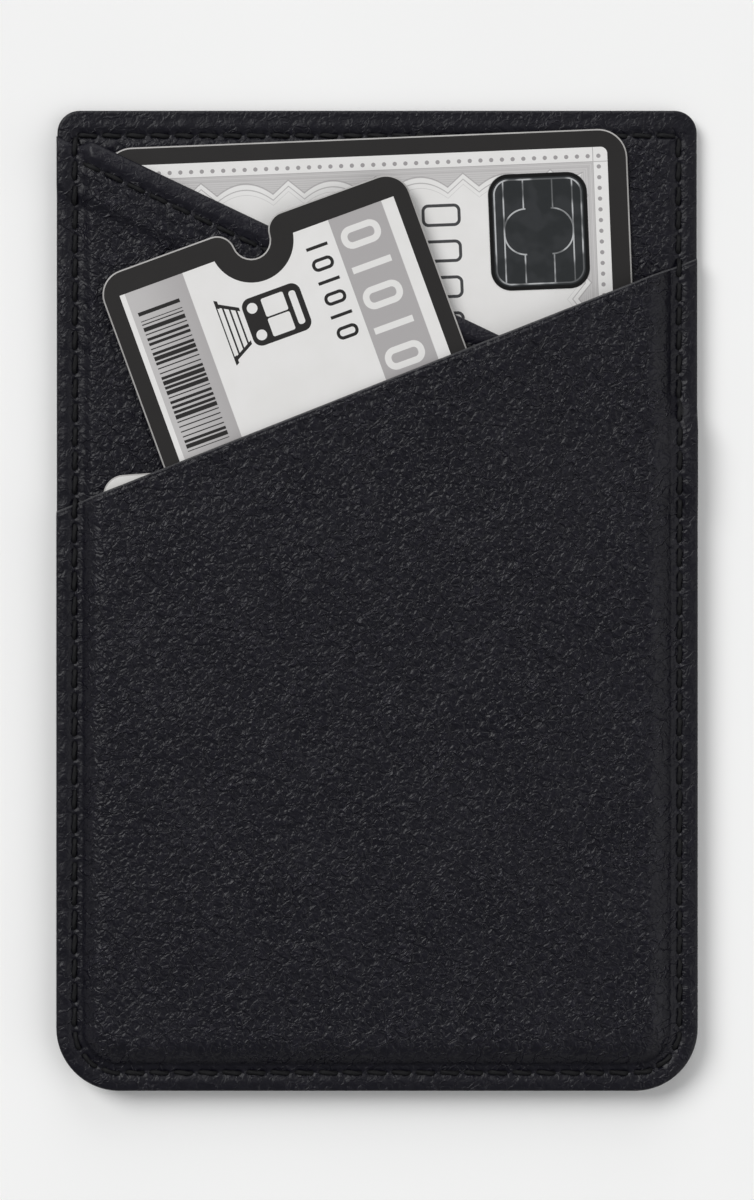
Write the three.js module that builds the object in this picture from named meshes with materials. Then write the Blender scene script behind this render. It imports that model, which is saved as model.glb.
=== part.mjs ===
// Stick-on card pocket for the back of a phone, with two leather pockets and the cards in them.
// Millimetres. The pocket lies on its back: +X to the right, +Y towards the open end, +Z out of the front.

import * as THREE from 'three';
import { mergeVertices } from 'three/addons/utils/BufferGeometryUtils.js';

// Bank card, portrait, which sizes the pocket around it
const cardWidth = 54;
const cardHeight = 85.6;
const cardThickness = 0.4;
const cardCornerRadius = 3;
const cardLean = 3.44;
const cardShift = 0.4;

// Plies of the body, from the phone side outwards
const linerThickness = 0.12;
const adhesiveThickness = 0.22;
const adhesiveMargin = 3.6;
const adhesiveCornerRadius = 3;
const backingThickness = 0.5;
const leatherThickness = 0.7;

// Lockstitch round the edge and along the hem
const threadDiameter = 0.36;
const threadStandsProud = 0.14;
const threadClearance = 0.03;
const stitchLength = 2.5;
const stitchInset = 1.9;
const stitchInsetTop = 2.6;
const grooveWidth = 0.56;
const grooveDepth = 0.45;

// Sewn flange, then the rise of each panel over what it holds
const seamLand = 0.62;
const rearRampLength = 1.0;
const frontRampLength = 1.7;
const rampCornerRadius = 2;

// Room left round the bank card
const cardSideRoom = 2.2;
const cardBottomRoom = 12.5;
const cardTopRoom = 2.9;
const looseClearance = 0.05;

// Outline corners
const topCornerRadius = 2.3;
const bottomCornerRadius = 6.5;
const smallestRadius = 0.3;
const cornerSteps = 6;

// Slanted mouths, given by how far below the top edge each end lies
const rearMouthLeftDrop = 1.6;
const rearMouthRightDrop = 33;
const frontMouthLeftDrop = 41.5;
const frontMouthRightDrop = 15.4;

// Turned hem of the rear pocket
const hemTurnLength = 5.5;
const hemSkivedThickness = 0.35;
const hemFoldGap = 0.05;
const hemNoseLength = 0.5;
const hemStitchInset = 2.4;
const hemRunOut = 1.2;
const drapeLength = 1.2;

// Travel ticket, leaning to the left, held by its top left corner
const ticketWidth = 33.4;
const ticketHeight = 50;
const ticketThickness = 0.3;
const ticketCornerRadius = 2.6;
const ticketLean = 20;
const ticketFromLeft = 4.1;
const ticketFromTop = 17.6;
const notchAlong = 16.4;
const notchDepth = 3.6;
const notchRadius = 1.9;
const notchLipRadius = 1.9;

// Paper slip behind the ticket
const slipWidth = 40;
const slipHeight = 38;
const slipThickness = 0.2;
const slipCornerRadius = 2.2;
const slipLean = 4;
const slipFromLeft = 4.7;
const slipFromTop = 37.8;

const threadSides = 5;
const bobbinSides = 4;
const stationsPerStitch = 3;
const arcSteps = 8;

// Widths that follow from the seam and the card
const threadRadius = threadDiameter / 2;
const flangeWidth = stitchInset + grooveWidth / 2 + seamLand;
const flangeWidthTop = stitchInsetTop + grooveWidth / 2 + seamLand;
const pocketWidth = cardWidth + 2 * (flangeWidth + rearRampLength + cardSideRoom);
const pocketHeight = cardHeight + cardBottomRoom + cardTopRoom;
const halfWidth = pocketWidth / 2;
const halfHeight = pocketHeight / 2;

// Heights that follow from the plies and from what lies between them
const adhesiveBottom = linerThickness;
const backingBottom = adhesiveBottom + adhesiveThickness;
const backBottom = backingBottom + backingThickness;
const backTop = backBottom + leatherThickness;
const cardBottom = backTop + threadStandsProud + threadClearance;
const rearPlateauBottom = cardBottom + cardThickness + looseClearance;
const rearPlateauTop = rearPlateauBottom + leatherThickness;
const rearFlangeTop = backTop + leatherThickness;
const hemLift = hemFoldGap + hemSkivedThickness;
const slipBottom = rearPlateauTop + looseClearance;
const ticketBottom = Math.max(
  rearPlateauTop + hemLift + threadStandsProud,
  slipBottom + slipThickness
) + looseClearance;
const frontPlateauBottom = ticketBottom + ticketThickness + looseClearance;

// The front panel's first rise just clears the rear panel's shoulder at the hem
const frontShoulder = (rearPlateauTop + threadClearance - rearFlangeTop)
  / (frontPlateauBottom - rearFlangeTop - hemLift);
const frontUpperShoulder = THREE.MathUtils.lerp(frontShoulder, 1, 0.65);

const leather = { color: 0x232328, roughness: 0.55, metalness: 0 };
const thread = { color: 0x121214, roughness: 0.75, metalness: 0 };

// A mouth is a straight line; distances below it are positive
function mouthLine(leftDrop, rightDrop) {
  const left = new THREE.Vector2(-halfWidth, halfHeight - leftDrop);
  const right = new THREE.Vector2(halfWidth, halfHeight - rightDrop);
  const along = right.clone().sub(left).normalize();
  return {
    left,
    along,
    below: (point) => (point.x - left.x) * along.y - (point.y - left.y) * along.x,
  };
}

const rearMouth = mouthLine(rearMouthLeftDrop, rearMouthRightDrop);
const frontMouth = mouthLine(frontMouthLeftDrop, frontMouthRightDrop);

// Height added by the turned hem at a distance below the rear mouth
function hemRise(distance) {
  const past = (distance - hemTurnLength) / hemRunOut;
  return hemLift * (1 - THREE.MathUtils.clamp(past, 0, 1));
}

// Upper face of the rear panel before its fold is rounded
function rearTop(point) {
  const base = THREE.MathUtils.lerp(rearFlangeTop, rearPlateauTop, point.rise);
  return base + hemRise(rearMouth.below(point));
}

// Share of the fold's half thickness that is left at a distance from its tip
function foldShare(distance) {
  const inner = 1 - THREE.MathUtils.clamp(distance / hemNoseLength, 0, 1);
  return Math.sqrt(1 - inner * inner);
}

const foldHalf = (leatherThickness + hemLift) / 2;

function foldTop(point) {
  return rearTop(point) - foldHalf * (1 - foldShare(rearMouth.below(point)));
}

function foldBottom(point) {
  return rearTop(point) - foldHalf * (1 + foldShare(rearMouth.below(point)));
}

// Surface that the front panel's flange is sewn down onto
function frontSeat(point) {
  const distance = rearMouth.below(point);
  if (distance >= 0) return rearFlangeTop + hemRise(distance);
  const drape = THREE.MathUtils.clamp(-distance / drapeLength, 0, 1);
  return THREE.MathUtils.lerp(rearFlangeTop + hemLift, backTop, drape);
}

function frontBottom(point) {
  return THREE.MathUtils.lerp(frontSeat(point), frontPlateauBottom, point.rise);
}

function frontTop(point) {
  return frontBottom(point) + leatherThickness;
}

// One closed ring of points, parallel to the outline
function outlineRing(inset, insetTop, smallest, rise) {
  const corners = [
    { side: 1, end: -1, radius: bottomCornerRadius, start: -90 },
    { side: 1, end: 1, radius: topCornerRadius, start: 0 },
    { side: -1, end: 1, radius: topCornerRadius, start: 90 },
    { side: -1, end: -1, radius: bottomCornerRadius, start: 180 },
  ];
  const ring = [];
  for (const corner of corners) {
    const radius = Math.max(corner.radius - inset, smallest);
    const endInset = corner.end > 0 ? insetTop : inset;
    const centreX = corner.side * (halfWidth - inset - radius);
    const centreY = corner.end * (halfHeight - endInset - radius);
    for (let step = 0; step <= cornerSteps; step += 1) {
      const angle = THREE.MathUtils.degToRad(corner.start + (90 * step) / cornerSteps);
      ring.push({
        x: centreX + radius * Math.cos(angle),
        y: centreY + radius * Math.sin(angle),
        rise,
      });
    }
  }
  return ring;
}

const edgeRing = outlineRing(0, 0, smallestRadius, 0);
const grooveOuterRing = outlineRing(
  stitchInset - grooveWidth / 2, stitchInsetTop - grooveWidth / 2, smallestRadius, 0);
const grooveInnerRing = outlineRing(
  stitchInset + grooveWidth / 2, stitchInsetTop + grooveWidth / 2, smallestRadius, 0);
const flangeRing = outlineRing(flangeWidth, flangeWidthTop, rampCornerRadius, 0);

function rampRing(distance, rise) {
  return outlineRing(flangeWidth + distance, flangeWidthTop + distance, rampCornerRadius, rise);
}

// Triangles between two rings, marked with the zone they belong to
function ringBand(outer, inner, zone) {
  const triangles = [];
  for (let index = 0; index < outer.length; index += 1) {
    const next = (index + 1) % outer.length;
    triangles.push({ points: [outer[index], outer[next], inner[next]], zone });
    triangles.push({ points: [outer[index], inner[next], inner[index]], zone });
  }
  return triangles;
}

function ringFill(ring, zone) {
  const contour = ring.map((point) => new THREE.Vector2(point.x, point.y));
  const faces = THREE.ShapeUtils.triangulateShape(contour, []);
  return faces.map((face) => ({ points: face.map((index) => ring[index]), zone }));
}

// Edge band, stitch groove and sewn land, common to every ply
function seamBands() {
  return [
    ...ringBand(edgeRing, grooveOuterRing, 'edge'),
    ...ringBand(grooveOuterRing, grooveInnerRing, 'groove'),
    ...ringBand(grooveInnerRing, flangeRing, 'land'),
  ];
}

// Cut every triangle along the line where the signed distance equals an offset
function cutAlong(triangles, signedDistance, offset) {
  const touch = 1e-6;
  const result = [];
  for (const { points, zone } of triangles) {
    const above = [];
    const below = [];
    points.forEach((point, index) => {
      const next = points[(index + 1) % points.length];
      const here = signedDistance(point) - offset;
      const there = signedDistance(next) - offset;
      if (here > -touch) above.push(point);
      if (here < touch) below.push(point);
      if (Math.abs(here) < touch || Math.abs(there) < touch || here * there > 0) return;
      const share = here / (here - there);
      const crossing = {
        x: THREE.MathUtils.lerp(point.x, next.x, share),
        y: THREE.MathUtils.lerp(point.y, next.y, share),
        rise: THREE.MathUtils.lerp(point.rise, next.rise, share),
      };
      above.push(crossing);
      below.push(crossing);
    });
    for (const polygon of [above, below]) {
      for (let corner = 2; corner < polygon.length; corner += 1) {
        result.push({ points: [polygon[0], polygon[corner - 1], polygon[corner]], zone });
      }
    }
  }
  return result;
}

function middle(triangle) {
  const [a, b, c] = triangle.points;
  return { x: (a.x + b.x + c.x) / 3, y: (a.y + b.y + c.y) / 3 };
}

function keyOf(point) {
  return `${point.x.toFixed(4)},${point.y.toFixed(4)}`;
}

// Closed geometry from loose triangles, with shared corners merged and empty ones dropped
function closedGeometry(corners) {
  const loose = new THREE.BufferGeometry();
  loose.setAttribute('position', new THREE.Float32BufferAttribute(corners.flat(), 3));
  const merged = mergeVertices(loose, 1e-4);
  const index = merged.getIndex();
  const kept = [];
  for (let face = 0; face < index.count; face += 3) {
    const [a, b, c] = [index.getX(face), index.getX(face + 1), index.getX(face + 2)];
    if (a !== b && b !== c && c !== a) kept.push(a, b, c);
  }
  merged.setIndex(kept);
  merged.computeVertexNormals();
  return merged;
}

// Rising list of the levels at one column that lie inside a wall
function levelsWithin(levels, low, high) {
  const inner = levels.filter((level) => level > low + 1e-5 && level < high - 1e-5);
  const sorted = [low, ...inner.sort((a, b) => a - b), high];
  return sorted.filter((level, index) => index === 0 || level - sorted[index - 1] > 1e-5);
}

// Wall between two columns, from a lower to an upper level, facing right of the way from a to b
function addWall(corners, a, b, levelsA, levelsB) {
  let i = 0;
  let j = 0;
  while (i < levelsA.length - 1 || j < levelsB.length - 1) {
    const nextA = i < levelsA.length - 1 ? levelsA[i + 1] : Infinity;
    const nextB = j < levelsB.length - 1 ? levelsB[j + 1] : Infinity;
    corners.push([a.x, a.y, levelsA[i]], [b.x, b.y, levelsB[j]]);
    if (nextB <= nextA) {
      j += 1;
      corners.push([b.x, b.y, levelsB[j]]);
    } else {
      i += 1;
      corners.push([a.x, a.y, levelsA[i]]);
    }
  }
}

// Solid made of one or more layers over each triangle; walls close every change of layers
function layeredSolid(triangles, layersOf) {
  const corners = [];
  const columns = new Map();
  const edges = new Map();
  for (const triangle of triangles) {
    if (new Set(triangle.points.map(keyOf)).size < 3) continue;
    const layers = layersOf(triangle);
    const spans = triangle.points.map((point) => (
      layers.map((layer) => [layer.bottom(point), layer.top(point)])
    ));
    triangle.points.forEach((point, corner) => {
      const key = keyOf(point);
      if (!columns.has(key)) columns.set(key, []);
      columns.get(key).push(...spans[corner].flat());
      const after = (corner + 1) % 3;
      const next = triangle.points[after];
      const nextKey = keyOf(next);
      const forward = key < nextKey;
      const edgeKey = forward ? `${key}|${nextKey}` : `${nextKey}|${key}`;
      if (!edges.has(edgeKey)) edges.set(edgeKey, {});
      const edge = edges.get(edgeKey);
      edge.a = forward ? point : next;
      edge.b = forward ? next : point;
      const spansA = forward ? spans[corner] : spans[after];
      const spansB = forward ? spans[after] : spans[corner];
      const side = spansA.map((span, layer) => ({ a: span, b: spansB[layer] }));
      if (forward) edge.left = side;
      else edge.right = side;
    });
    layers.forEach((layer, number) => {
      const [p, q, r] = triangle.points;
      const [low, high] = [0, 1].map((end) => spans.map((span) => span[number][end]));
      corners.push([p.x, p.y, high[0]], [q.x, q.y, high[1]], [r.x, r.y, high[2]]);
      corners.push([p.x, p.y, low[0]], [r.x, r.y, low[2]], [q.x, q.y, low[1]]);
    });
  }
  const inside = (side, level) => side.some((span) => (
    (span.a[0] + span.b[0]) / 2 < level && level < (span.a[1] + span.b[1]) / 2
  ));
  for (const edge of edges.values()) {
    const left = edge.left ?? [];
    const right = edge.right ?? [];
    const bounds = [...left, ...right].flatMap((span) => (
      [0, 1].map((end) => ({ a: span.a[end], b: span.b[end] }))
    ));
    bounds.sort((first, second) => (first.a + first.b) - (second.a + second.b));
    for (let index = 1; index < bounds.length; index += 1) {
      const lower = bounds[index - 1];
      const upper = bounds[index];
      const level = (lower.a + lower.b + upper.a + upper.b) / 4;
      const gap = upper.a + upper.b - lower.a - lower.b;
      const solidLeft = inside(left, level);
      const solidRight = inside(right, level);
      if (gap < 1e-5 || solidLeft === solidRight) continue;
      const levelsA = levelsWithin(columns.get(keyOf(edge.a)), lower.a, upper.a);
      const levelsB = levelsWithin(columns.get(keyOf(edge.b)), lower.b, upper.b);
      if (solidLeft) addWall(corners, edge.a, edge.b, levelsA, levelsB);
      else addWall(corners, edge.b, edge.a, levelsB, levelsA);
    }
  }
  return closedGeometry(corners);
}

function level(height) {
  return () => height;
}

// Leather ply that the whole pocket is built on, grooved where its stitches show
function backPanelGeometry() {
  let triangles = [...seamBands(), ...ringFill(flangeRing, 'field')];
  triangles = cutAlong(triangles, rearMouth.below, 0);
  triangles = cutAlong(triangles, frontMouth.below, 0);
  return layeredSolid(triangles, (triangle) => {
    const centre = middle(triangle);
    const open = rearMouth.below(centre) < 0 && frontMouth.below(centre) < 0;
    const sunk = triangle.zone === 'groove' && open;
    return [{ bottom: level(backBottom), top: level(sunk ? backTop - grooveDepth : backTop) }];
  });
}

// Inner ply under the back panel, grooved below for the underthread
function backingPlyGeometry() {
  const triangles = [...seamBands(), ...ringFill(flangeRing, 'field')];
  const grooveCeiling = backingBottom + threadDiameter + 2 * threadClearance - threadStandsProud;
  return layeredSolid(triangles, (triangle) => {
    const sunk = triangle.zone === 'groove';
    return [{ bottom: level(sunk ? grooveCeiling : backingBottom), top: level(backBottom) }];
  });
}

const grooveFloor = (height) => (point) => height(point) - grooveDepth;

// Rear pocket: one ply with its mouth turned under and sewn down
function rearPocketGeometry() {
  const ramp = rampRing(rearRampLength, 1);
  let triangles = [
    ...seamBands(),
    ...ringBand(flangeRing, ramp, 'ramp'),
    ...ringFill(ramp, 'plateau'),
  ];
  const hemLines = [
    0,
    hemNoseLength * 0.12,
    hemNoseLength * 0.45,
    hemNoseLength,
    hemStitchInset - grooveWidth / 2,
    hemStitchInset + grooveWidth / 2,
    hemTurnLength,
    hemTurnLength + hemRunOut,
  ];
  for (const offset of hemLines) triangles = cutAlong(triangles, rearMouth.below, offset);
  triangles = cutAlong(triangles, frontMouth.below, 0);
  triangles = triangles.filter((triangle) => rearMouth.below(middle(triangle)) > 0);
  const underside = (point) => rearTop(point) - leatherThickness;
  const turnedTop = (point) => underside(point) - hemFoldGap;
  const turnedBottom = (point) => turnedTop(point) - hemSkivedThickness;
  return layeredSolid(triangles, (triangle) => {
    const centre = middle(triangle);
    const distance = rearMouth.below(centre);
    const inSeamGroove = triangle.zone === 'groove' && frontMouth.below(centre) < 0;
    const inField = triangle.zone === 'ramp' || triangle.zone === 'plateau';
    const inHemGroove = inField && Math.abs(distance - hemStitchInset) < grooveWidth / 2;
    if (distance < hemNoseLength) {
      const sunk = (point) => Math.min(foldTop(point), rearTop(point) - grooveDepth);
      return [{ bottom: foldBottom, top: inSeamGroove ? sunk : foldTop }];
    }
    const top = inSeamGroove || inHemGroove ? grooveFloor(rearTop) : rearTop;
    const panel = { bottom: underside, top };
    const turned = { bottom: turnedBottom, top: turnedTop };
    return distance < hemTurnLength ? [turned, panel] : [panel];
  });
}

// Front pocket: one ply with a straight cut mouth
function frontPocketGeometry() {
  const shoulder = rampRing(rearRampLength, frontShoulder);
  const upper = rampRing(rearRampLength + frontRampLength / 2, frontUpperShoulder);
  const ramp = rampRing(rearRampLength + frontRampLength, 1);
  let triangles = [
    ...seamBands(),
    ...ringBand(flangeRing, shoulder, 'ramp'),
    ...ringBand(shoulder, upper, 'ramp'),
    ...ringBand(upper, ramp, 'ramp'),
    ...ringFill(ramp, 'plateau'),
  ];
  triangles = cutAlong(triangles, frontMouth.below, 0);
  triangles = triangles.filter((triangle) => frontMouth.below(middle(triangle)) > 0);
  for (const offset of [-drapeLength, 0, hemTurnLength, hemTurnLength + hemRunOut]) {
    triangles = cutAlong(triangles, rearMouth.below, offset);
  }
  return layeredSolid(triangles, (triangle) => {
    const sunk = triangle.zone === 'groove';
    return [{ bottom: frontBottom, top: sunk ? grooveFloor(frontTop) : frontTop }];
  });
}

// Tube along a list of stations, closed on itself or capped at both ends
function threadGeometry(stations, sides, isLoop) {
  const count = stations.length;
  const rings = stations.map((station, index) => {
    const before = isLoop ? stations[(index + count - 1) % count] : stations[Math.max(index - 1, 0)];
    const after = isLoop ? stations[(index + 1) % count] : stations[Math.min(index + 1, count - 1)];
    const along = new THREE.Vector2(after.x - before.x, after.y - before.y).normalize();
    return Array.from({ length: sides }, (_, side) => {
      const angle = (2 * Math.PI * side) / sides + Math.PI / 2;
      const across = threadRadius * Math.cos(angle);
      return [
        station.x - along.y * across,
        station.y + along.x * across,
        station.z + threadRadius * Math.sin(angle),
      ];
    });
  });
  const corners = [];
  const spans = isLoop ? count : count - 1;
  for (let index = 0; index < spans; index += 1) {
    const near = rings[index];
    const far = rings[(index + 1) % count];
    for (let side = 0; side < sides; side += 1) {
      const next = (side + 1) % sides;
      corners.push(near[side], near[next], far[next]);
      corners.push(near[side], far[next], far[side]);
    }
  }
  if (!isLoop) {
    for (let side = 1; side < sides - 1; side += 1) {
      corners.push(rings[0][0], rings[0][side + 1], rings[0][side]);
      corners.push(rings[count - 1][0], rings[count - 1][side], rings[count - 1][side + 1]);
    }
  }
  return closedGeometry(corners);
}

// Two runs of stitches: across the top, then down, along the bottom and up again
function seamRuns() {
  const x = halfWidth - stitchInset;
  const top = halfHeight - stitchInsetTop;
  const bottom = halfHeight - stitchInset;
  const radius = Math.max(bottomCornerRadius - stitchInset, smallestRadius);
  const across = new THREE.Path();
  across.moveTo(x, top).lineTo(-x, top);
  const around = new THREE.Path();
  around.moveTo(-x, top).lineTo(-x, radius - bottom);
  around.absarc(radius - x, radius - bottom, radius, Math.PI, 1.5 * Math.PI, false);
  around.lineTo(x - radius, -bottom);
  around.absarc(x - radius, radius - bottom, radius, -0.5 * Math.PI, 0, false);
  around.lineTo(x, top);
  return [across, around];
}

// Points along the seam, a whole number of stitches to each run
function seamPoints() {
  const points = [];
  for (const run of seamRuns()) {
    const stitches = Math.round(run.getLength() / stitchLength);
    const spaced = run.getSpacedPoints(stitches * stationsPerStitch);
    spaced.pop();
    spaced.forEach((point, index) => {
      points.push({ x: point.x, y: point.y, isHole: index % stationsPerStitch === 0 });
    });
  }
  return points;
}

// Floor of the stitch groove in whichever ply lies on top
function seamFloor(point) {
  const flat = { x: point.x, y: point.y, rise: 0 };
  if (frontMouth.below(flat) >= 0) return frontTop(flat) - grooveDepth;
  if (rearMouth.below(flat) < 0) return backTop - grooveDepth;
  return rearTop(flat) - grooveDepth;
}

// The thread stays up until it has cleared a step in the plies
function highestNearby(points, index, floorAt) {
  const reach = stitchLength / stationsPerStitch + grooveWidth;
  const here = points[index];
  const near = points.filter((point) => Math.hypot(point.x - here.x, point.y - here.y) < 2 * reach);
  const heights = [];
  for (const point of near) {
    for (let share = 0; share <= 1; share += 0.1) {
      const sample = {
        x: THREE.MathUtils.lerp(here.x, point.x, share),
        y: THREE.MathUtils.lerp(here.y, point.y, share),
      };
      const distance = Math.hypot(sample.x - here.x, sample.y - here.y);
      if (distance <= reach) heights.push(floorAt(sample));
    }
  }
  return Math.max(...heights);
}

// Needle thread: low at each hole, standing proud between holes
function seamNeedleGeometry() {
  const points = seamPoints();
  const low = threadClearance + threadRadius;
  const high = grooveDepth + threadStandsProud - threadRadius;
  const stations = points.map((point, index) => ({
    x: point.x,
    y: point.y,
    z: highestNearby(points, index, seamFloor) + (point.isHole ? low : high),
  }));
  return threadGeometry(stations, threadSides, true);
}

// Underthread: runs flat in the groove below the inner ply
function seamBobbinGeometry() {
  const height = backingBottom - threadStandsProud + threadRadius;
  const points = seamPoints().filter((point, index) => point.isHole || index % 3 === 1);
  const stations = points.map((point) => ({
    x: point.x,
    y: point.y,
    z: height + (point.isHole ? threadClearance : 0),
  }));
  return threadGeometry(stations, bobbinSides, true);
}

// Stitches that hold the hem down, from the left seam to under the front pocket
function hemStitchingGeometry() {
  const { left, along } = rearMouth;
  const sideways = along.y * hemStitchInset;
  const stationAt = (inset, isHole) => {
    const distance = (inset - sideways) / along.x;
    const x = left.x + along.x * distance + sideways;
    const y = left.y + along.y * distance - along.x * hemStitchInset;
    const rise = THREE.MathUtils.clamp((inset - flangeWidth) / rearRampLength, 0, 1);
    const lift = isHole ? threadClearance + threadRadius
      : grooveDepth + threadStandsProud - threadRadius;
    return { x, y, z: rearTop({ x, y, rise }) - grooveDepth + lift };
  };
  const foot = flangeWidth + threadDiameter;
  const shoulder = flangeWidth + rearRampLength;
  const end = pocketWidth - shoulder - frontRampLength;
  const stitches = Math.round((end - shoulder) / along.x / stitchLength);
  const count = stitches * stationsPerStitch;
  const stations = [stationAt(foot, true)];
  for (let index = 0; index <= count; index += 1) {
    const inset = THREE.MathUtils.lerp(shoulder, end, index / count);
    stations.push(stationAt(inset, index % stationsPerStitch === 0));
  }
  return threadGeometry(stations, threadSides, false);
}

// Rounded rectangle with its top left corner at the origin, running right and down
function sheetShape(width, height, radius) {
  const shape = new THREE.Shape();
  shape.moveTo(radius, 0);
  shape.absarc(radius, -radius, radius, Math.PI / 2, Math.PI, false);
  shape.lineTo(0, radius - height);
  shape.absarc(radius, radius - height, radius, Math.PI, 1.5 * Math.PI, false);
  shape.lineTo(width - radius, -height);
  shape.absarc(width - radius, radius - height, radius, -0.5 * Math.PI, 0, false);
  shape.lineTo(width, -radius);
  shape.absarc(width - radius, -radius, radius, 0, 0.5 * Math.PI, false);
  return shape;
}

// Thumb notch in the ticket's top edge: a round bottom between two rounded lips
function addNotch(shape) {
  const slant = Math.acos(
    THREE.MathUtils.clamp(1 - notchDepth / (notchRadius + notchLipRadius), -1, 1));
  const reach = (notchRadius + notchLipRadius) * Math.sin(slant);
  const up = Math.PI / 2;
  shape.lineTo(notchAlong + reach, 0);
  shape.absarc(notchAlong + reach, -notchLipRadius, notchLipRadius, up, up + slant, false);
  shape.absarc(
    notchAlong, notchRadius - notchDepth, notchRadius, slant - up, -up - slant, true);
  shape.absarc(notchAlong - reach, -notchLipRadius, notchLipRadius, up - slant, up, false);
  return shape;
}

function sheetGeometry(shape, thickness) {
  return new THREE.ExtrudeGeometry(shape, {
    depth: thickness,
    bevelEnabled: false,
    steps: 1,
    curveSegments: arcSteps,
  });
}

function bankCardGeometry() {
  const shape = sheetShape(cardWidth, cardHeight, cardCornerRadius);
  return sheetGeometry(shape, cardThickness).translate(-cardWidth / 2, cardHeight / 2, 0);
}

function ticketGeometry() {
  const shape = addNotch(sheetShape(ticketWidth, ticketHeight, ticketCornerRadius));
  return sheetGeometry(shape, ticketThickness);
}

function slipGeometry() {
  return sheetGeometry(sheetShape(slipWidth, slipHeight, slipCornerRadius), slipThickness);
}

function padGeometry(thickness) {
  const width = pocketWidth - 2 * adhesiveMargin;
  const height = pocketHeight - 2 * adhesiveMargin;
  const shape = sheetShape(width, height, adhesiveCornerRadius);
  return sheetGeometry(shape, thickness).translate(-width / 2, height / 2, 0);
}

function addPiece(group, name, geometry, finish) {
  const mesh = new THREE.Mesh(geometry, new THREE.MeshStandardMaterial(finish));
  mesh.name = name;
  group.add(mesh);
  return mesh;
}

function buildBody(group) {
  const paper = { color: 0xe9e4d6, roughness: 0.6, metalness: 0 };
  const glue = { color: 0xdcdcd8, roughness: 0.4, metalness: 0 };
  addPiece(group, 'release_liner', padGeometry(linerThickness), paper);
  const adhesive = addPiece(group, 'adhesive_pad', padGeometry(adhesiveThickness), glue);
  adhesive.position.z = adhesiveBottom;
  addPiece(group, 'backing_ply', backingPlyGeometry(), leather);
  addPiece(group, 'back_panel', backPanelGeometry(), leather);
}

function buildPockets(group) {
  addPiece(group, 'rear_pocket_panel', rearPocketGeometry(), leather);
  addPiece(group, 'front_pocket_panel', frontPocketGeometry(), leather);
}

function buildStitching(group) {
  addPiece(group, 'perimeter_stitching', seamNeedleGeometry(), thread);
  addPiece(group, 'perimeter_underthread', seamBobbinGeometry(), thread);
  addPiece(group, 'hem_stitching', hemStitchingGeometry(), thread);
}

function buildCards(group) {
  const board = { color: 0xe6e4e2, roughness: 0.5, metalness: 0 };
  const card = addPiece(group, 'bank_card', bankCardGeometry(), board);
  card.position.set(cardShift, (cardBottomRoom - cardTopRoom) / 2, cardBottom);
  card.rotation.z = Math.atan(cardLean / cardHeight);
  const slip = addPiece(group, 'paper_slip', slipGeometry(), board);
  slip.position.set(slipFromLeft - halfWidth, halfHeight - slipFromTop, slipBottom);
  slip.rotation.z = THREE.MathUtils.degToRad(slipLean);
  const ticket = addPiece(group, 'travel_ticket', ticketGeometry(), board);
  ticket.position.set(ticketFromLeft - halfWidth, halfHeight - ticketFromTop, ticketBottom);
  ticket.rotation.z = THREE.MathUtils.degToRad(ticketLean);
}

function buildCardPocket() {
  const group = new THREE.Group();
  group.name = 'card_pocket';
  buildBody(group);
  buildPockets(group);
  buildStitching(group);
  buildCards(group);
  return group;
}

export default buildCardPocket();
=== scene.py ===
"""Stick-on leather card pocket for a phone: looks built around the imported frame.

Sizes in the classes are in millimetres, as a leather worker would give them. A pair of sizes says
where something starts and where it is complete, unless its class says otherwise. Meshes are in
metres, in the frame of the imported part: +X right, +Y towards the open end, +Z out of the front.
"""

import logging
import math
from dataclasses import dataclass, field
from enum import Enum
from functools import reduce
from typing import Callable, Iterable, Mapping, Sequence, Union

import bpy
import numpy as np
from mathutils import Matrix, Vector


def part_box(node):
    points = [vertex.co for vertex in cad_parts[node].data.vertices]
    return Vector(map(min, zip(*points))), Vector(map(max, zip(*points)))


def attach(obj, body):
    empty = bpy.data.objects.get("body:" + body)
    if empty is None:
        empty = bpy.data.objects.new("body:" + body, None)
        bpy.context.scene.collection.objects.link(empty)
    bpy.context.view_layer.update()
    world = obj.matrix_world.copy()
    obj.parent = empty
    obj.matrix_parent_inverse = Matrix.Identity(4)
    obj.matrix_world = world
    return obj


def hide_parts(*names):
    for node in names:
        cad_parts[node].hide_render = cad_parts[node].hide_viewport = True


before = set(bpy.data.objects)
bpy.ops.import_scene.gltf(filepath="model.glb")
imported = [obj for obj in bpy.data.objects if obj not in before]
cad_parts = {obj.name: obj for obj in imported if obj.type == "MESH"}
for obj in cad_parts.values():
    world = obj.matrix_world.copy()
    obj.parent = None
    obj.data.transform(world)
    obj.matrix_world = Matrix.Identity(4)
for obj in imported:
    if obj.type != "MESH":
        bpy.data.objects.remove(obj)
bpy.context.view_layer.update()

MM = 0.001
LOG = logging.getLogger("card_pocket")
Field = np.ndarray
Socket = bpy.types.NodeSocket
Material = bpy.types.Material
Pair = tuple[float, float]
Sizes = Sequence[float]
Triple = tuple[float, float, float]
Colour = Triple
Paint = Union[Colour, Socket]
Amount = Union[float, "Number"]


def box_mm(node: str) -> tuple[Field, Field]:
    """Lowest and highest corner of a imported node, in millimetres."""
    low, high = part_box(node)
    return np.array(low) / MM, np.array(high) / MM


def smoothstep(value: Field, low: float, high: float) -> Field:
    """Soft step from 0 at low to 1 at high."""
    share = np.clip((value - low) / (high - low), 0.0, 1.0)
    return share * share * (3.0 - 2.0 * share)


def bell(value: Field, width: float) -> Field:
    """Bell curve of 1 at 0 that fades over about the given width."""
    return np.exp(-((value / width) ** 2))


# Shader graph


def opaque(paint: Paint) -> Union[Socket, tuple]:
    """What a colour socket takes: a link as it is, or a colour with its alpha."""
    return (*paint, 1.0) if isinstance(paint, tuple) else paint


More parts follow.
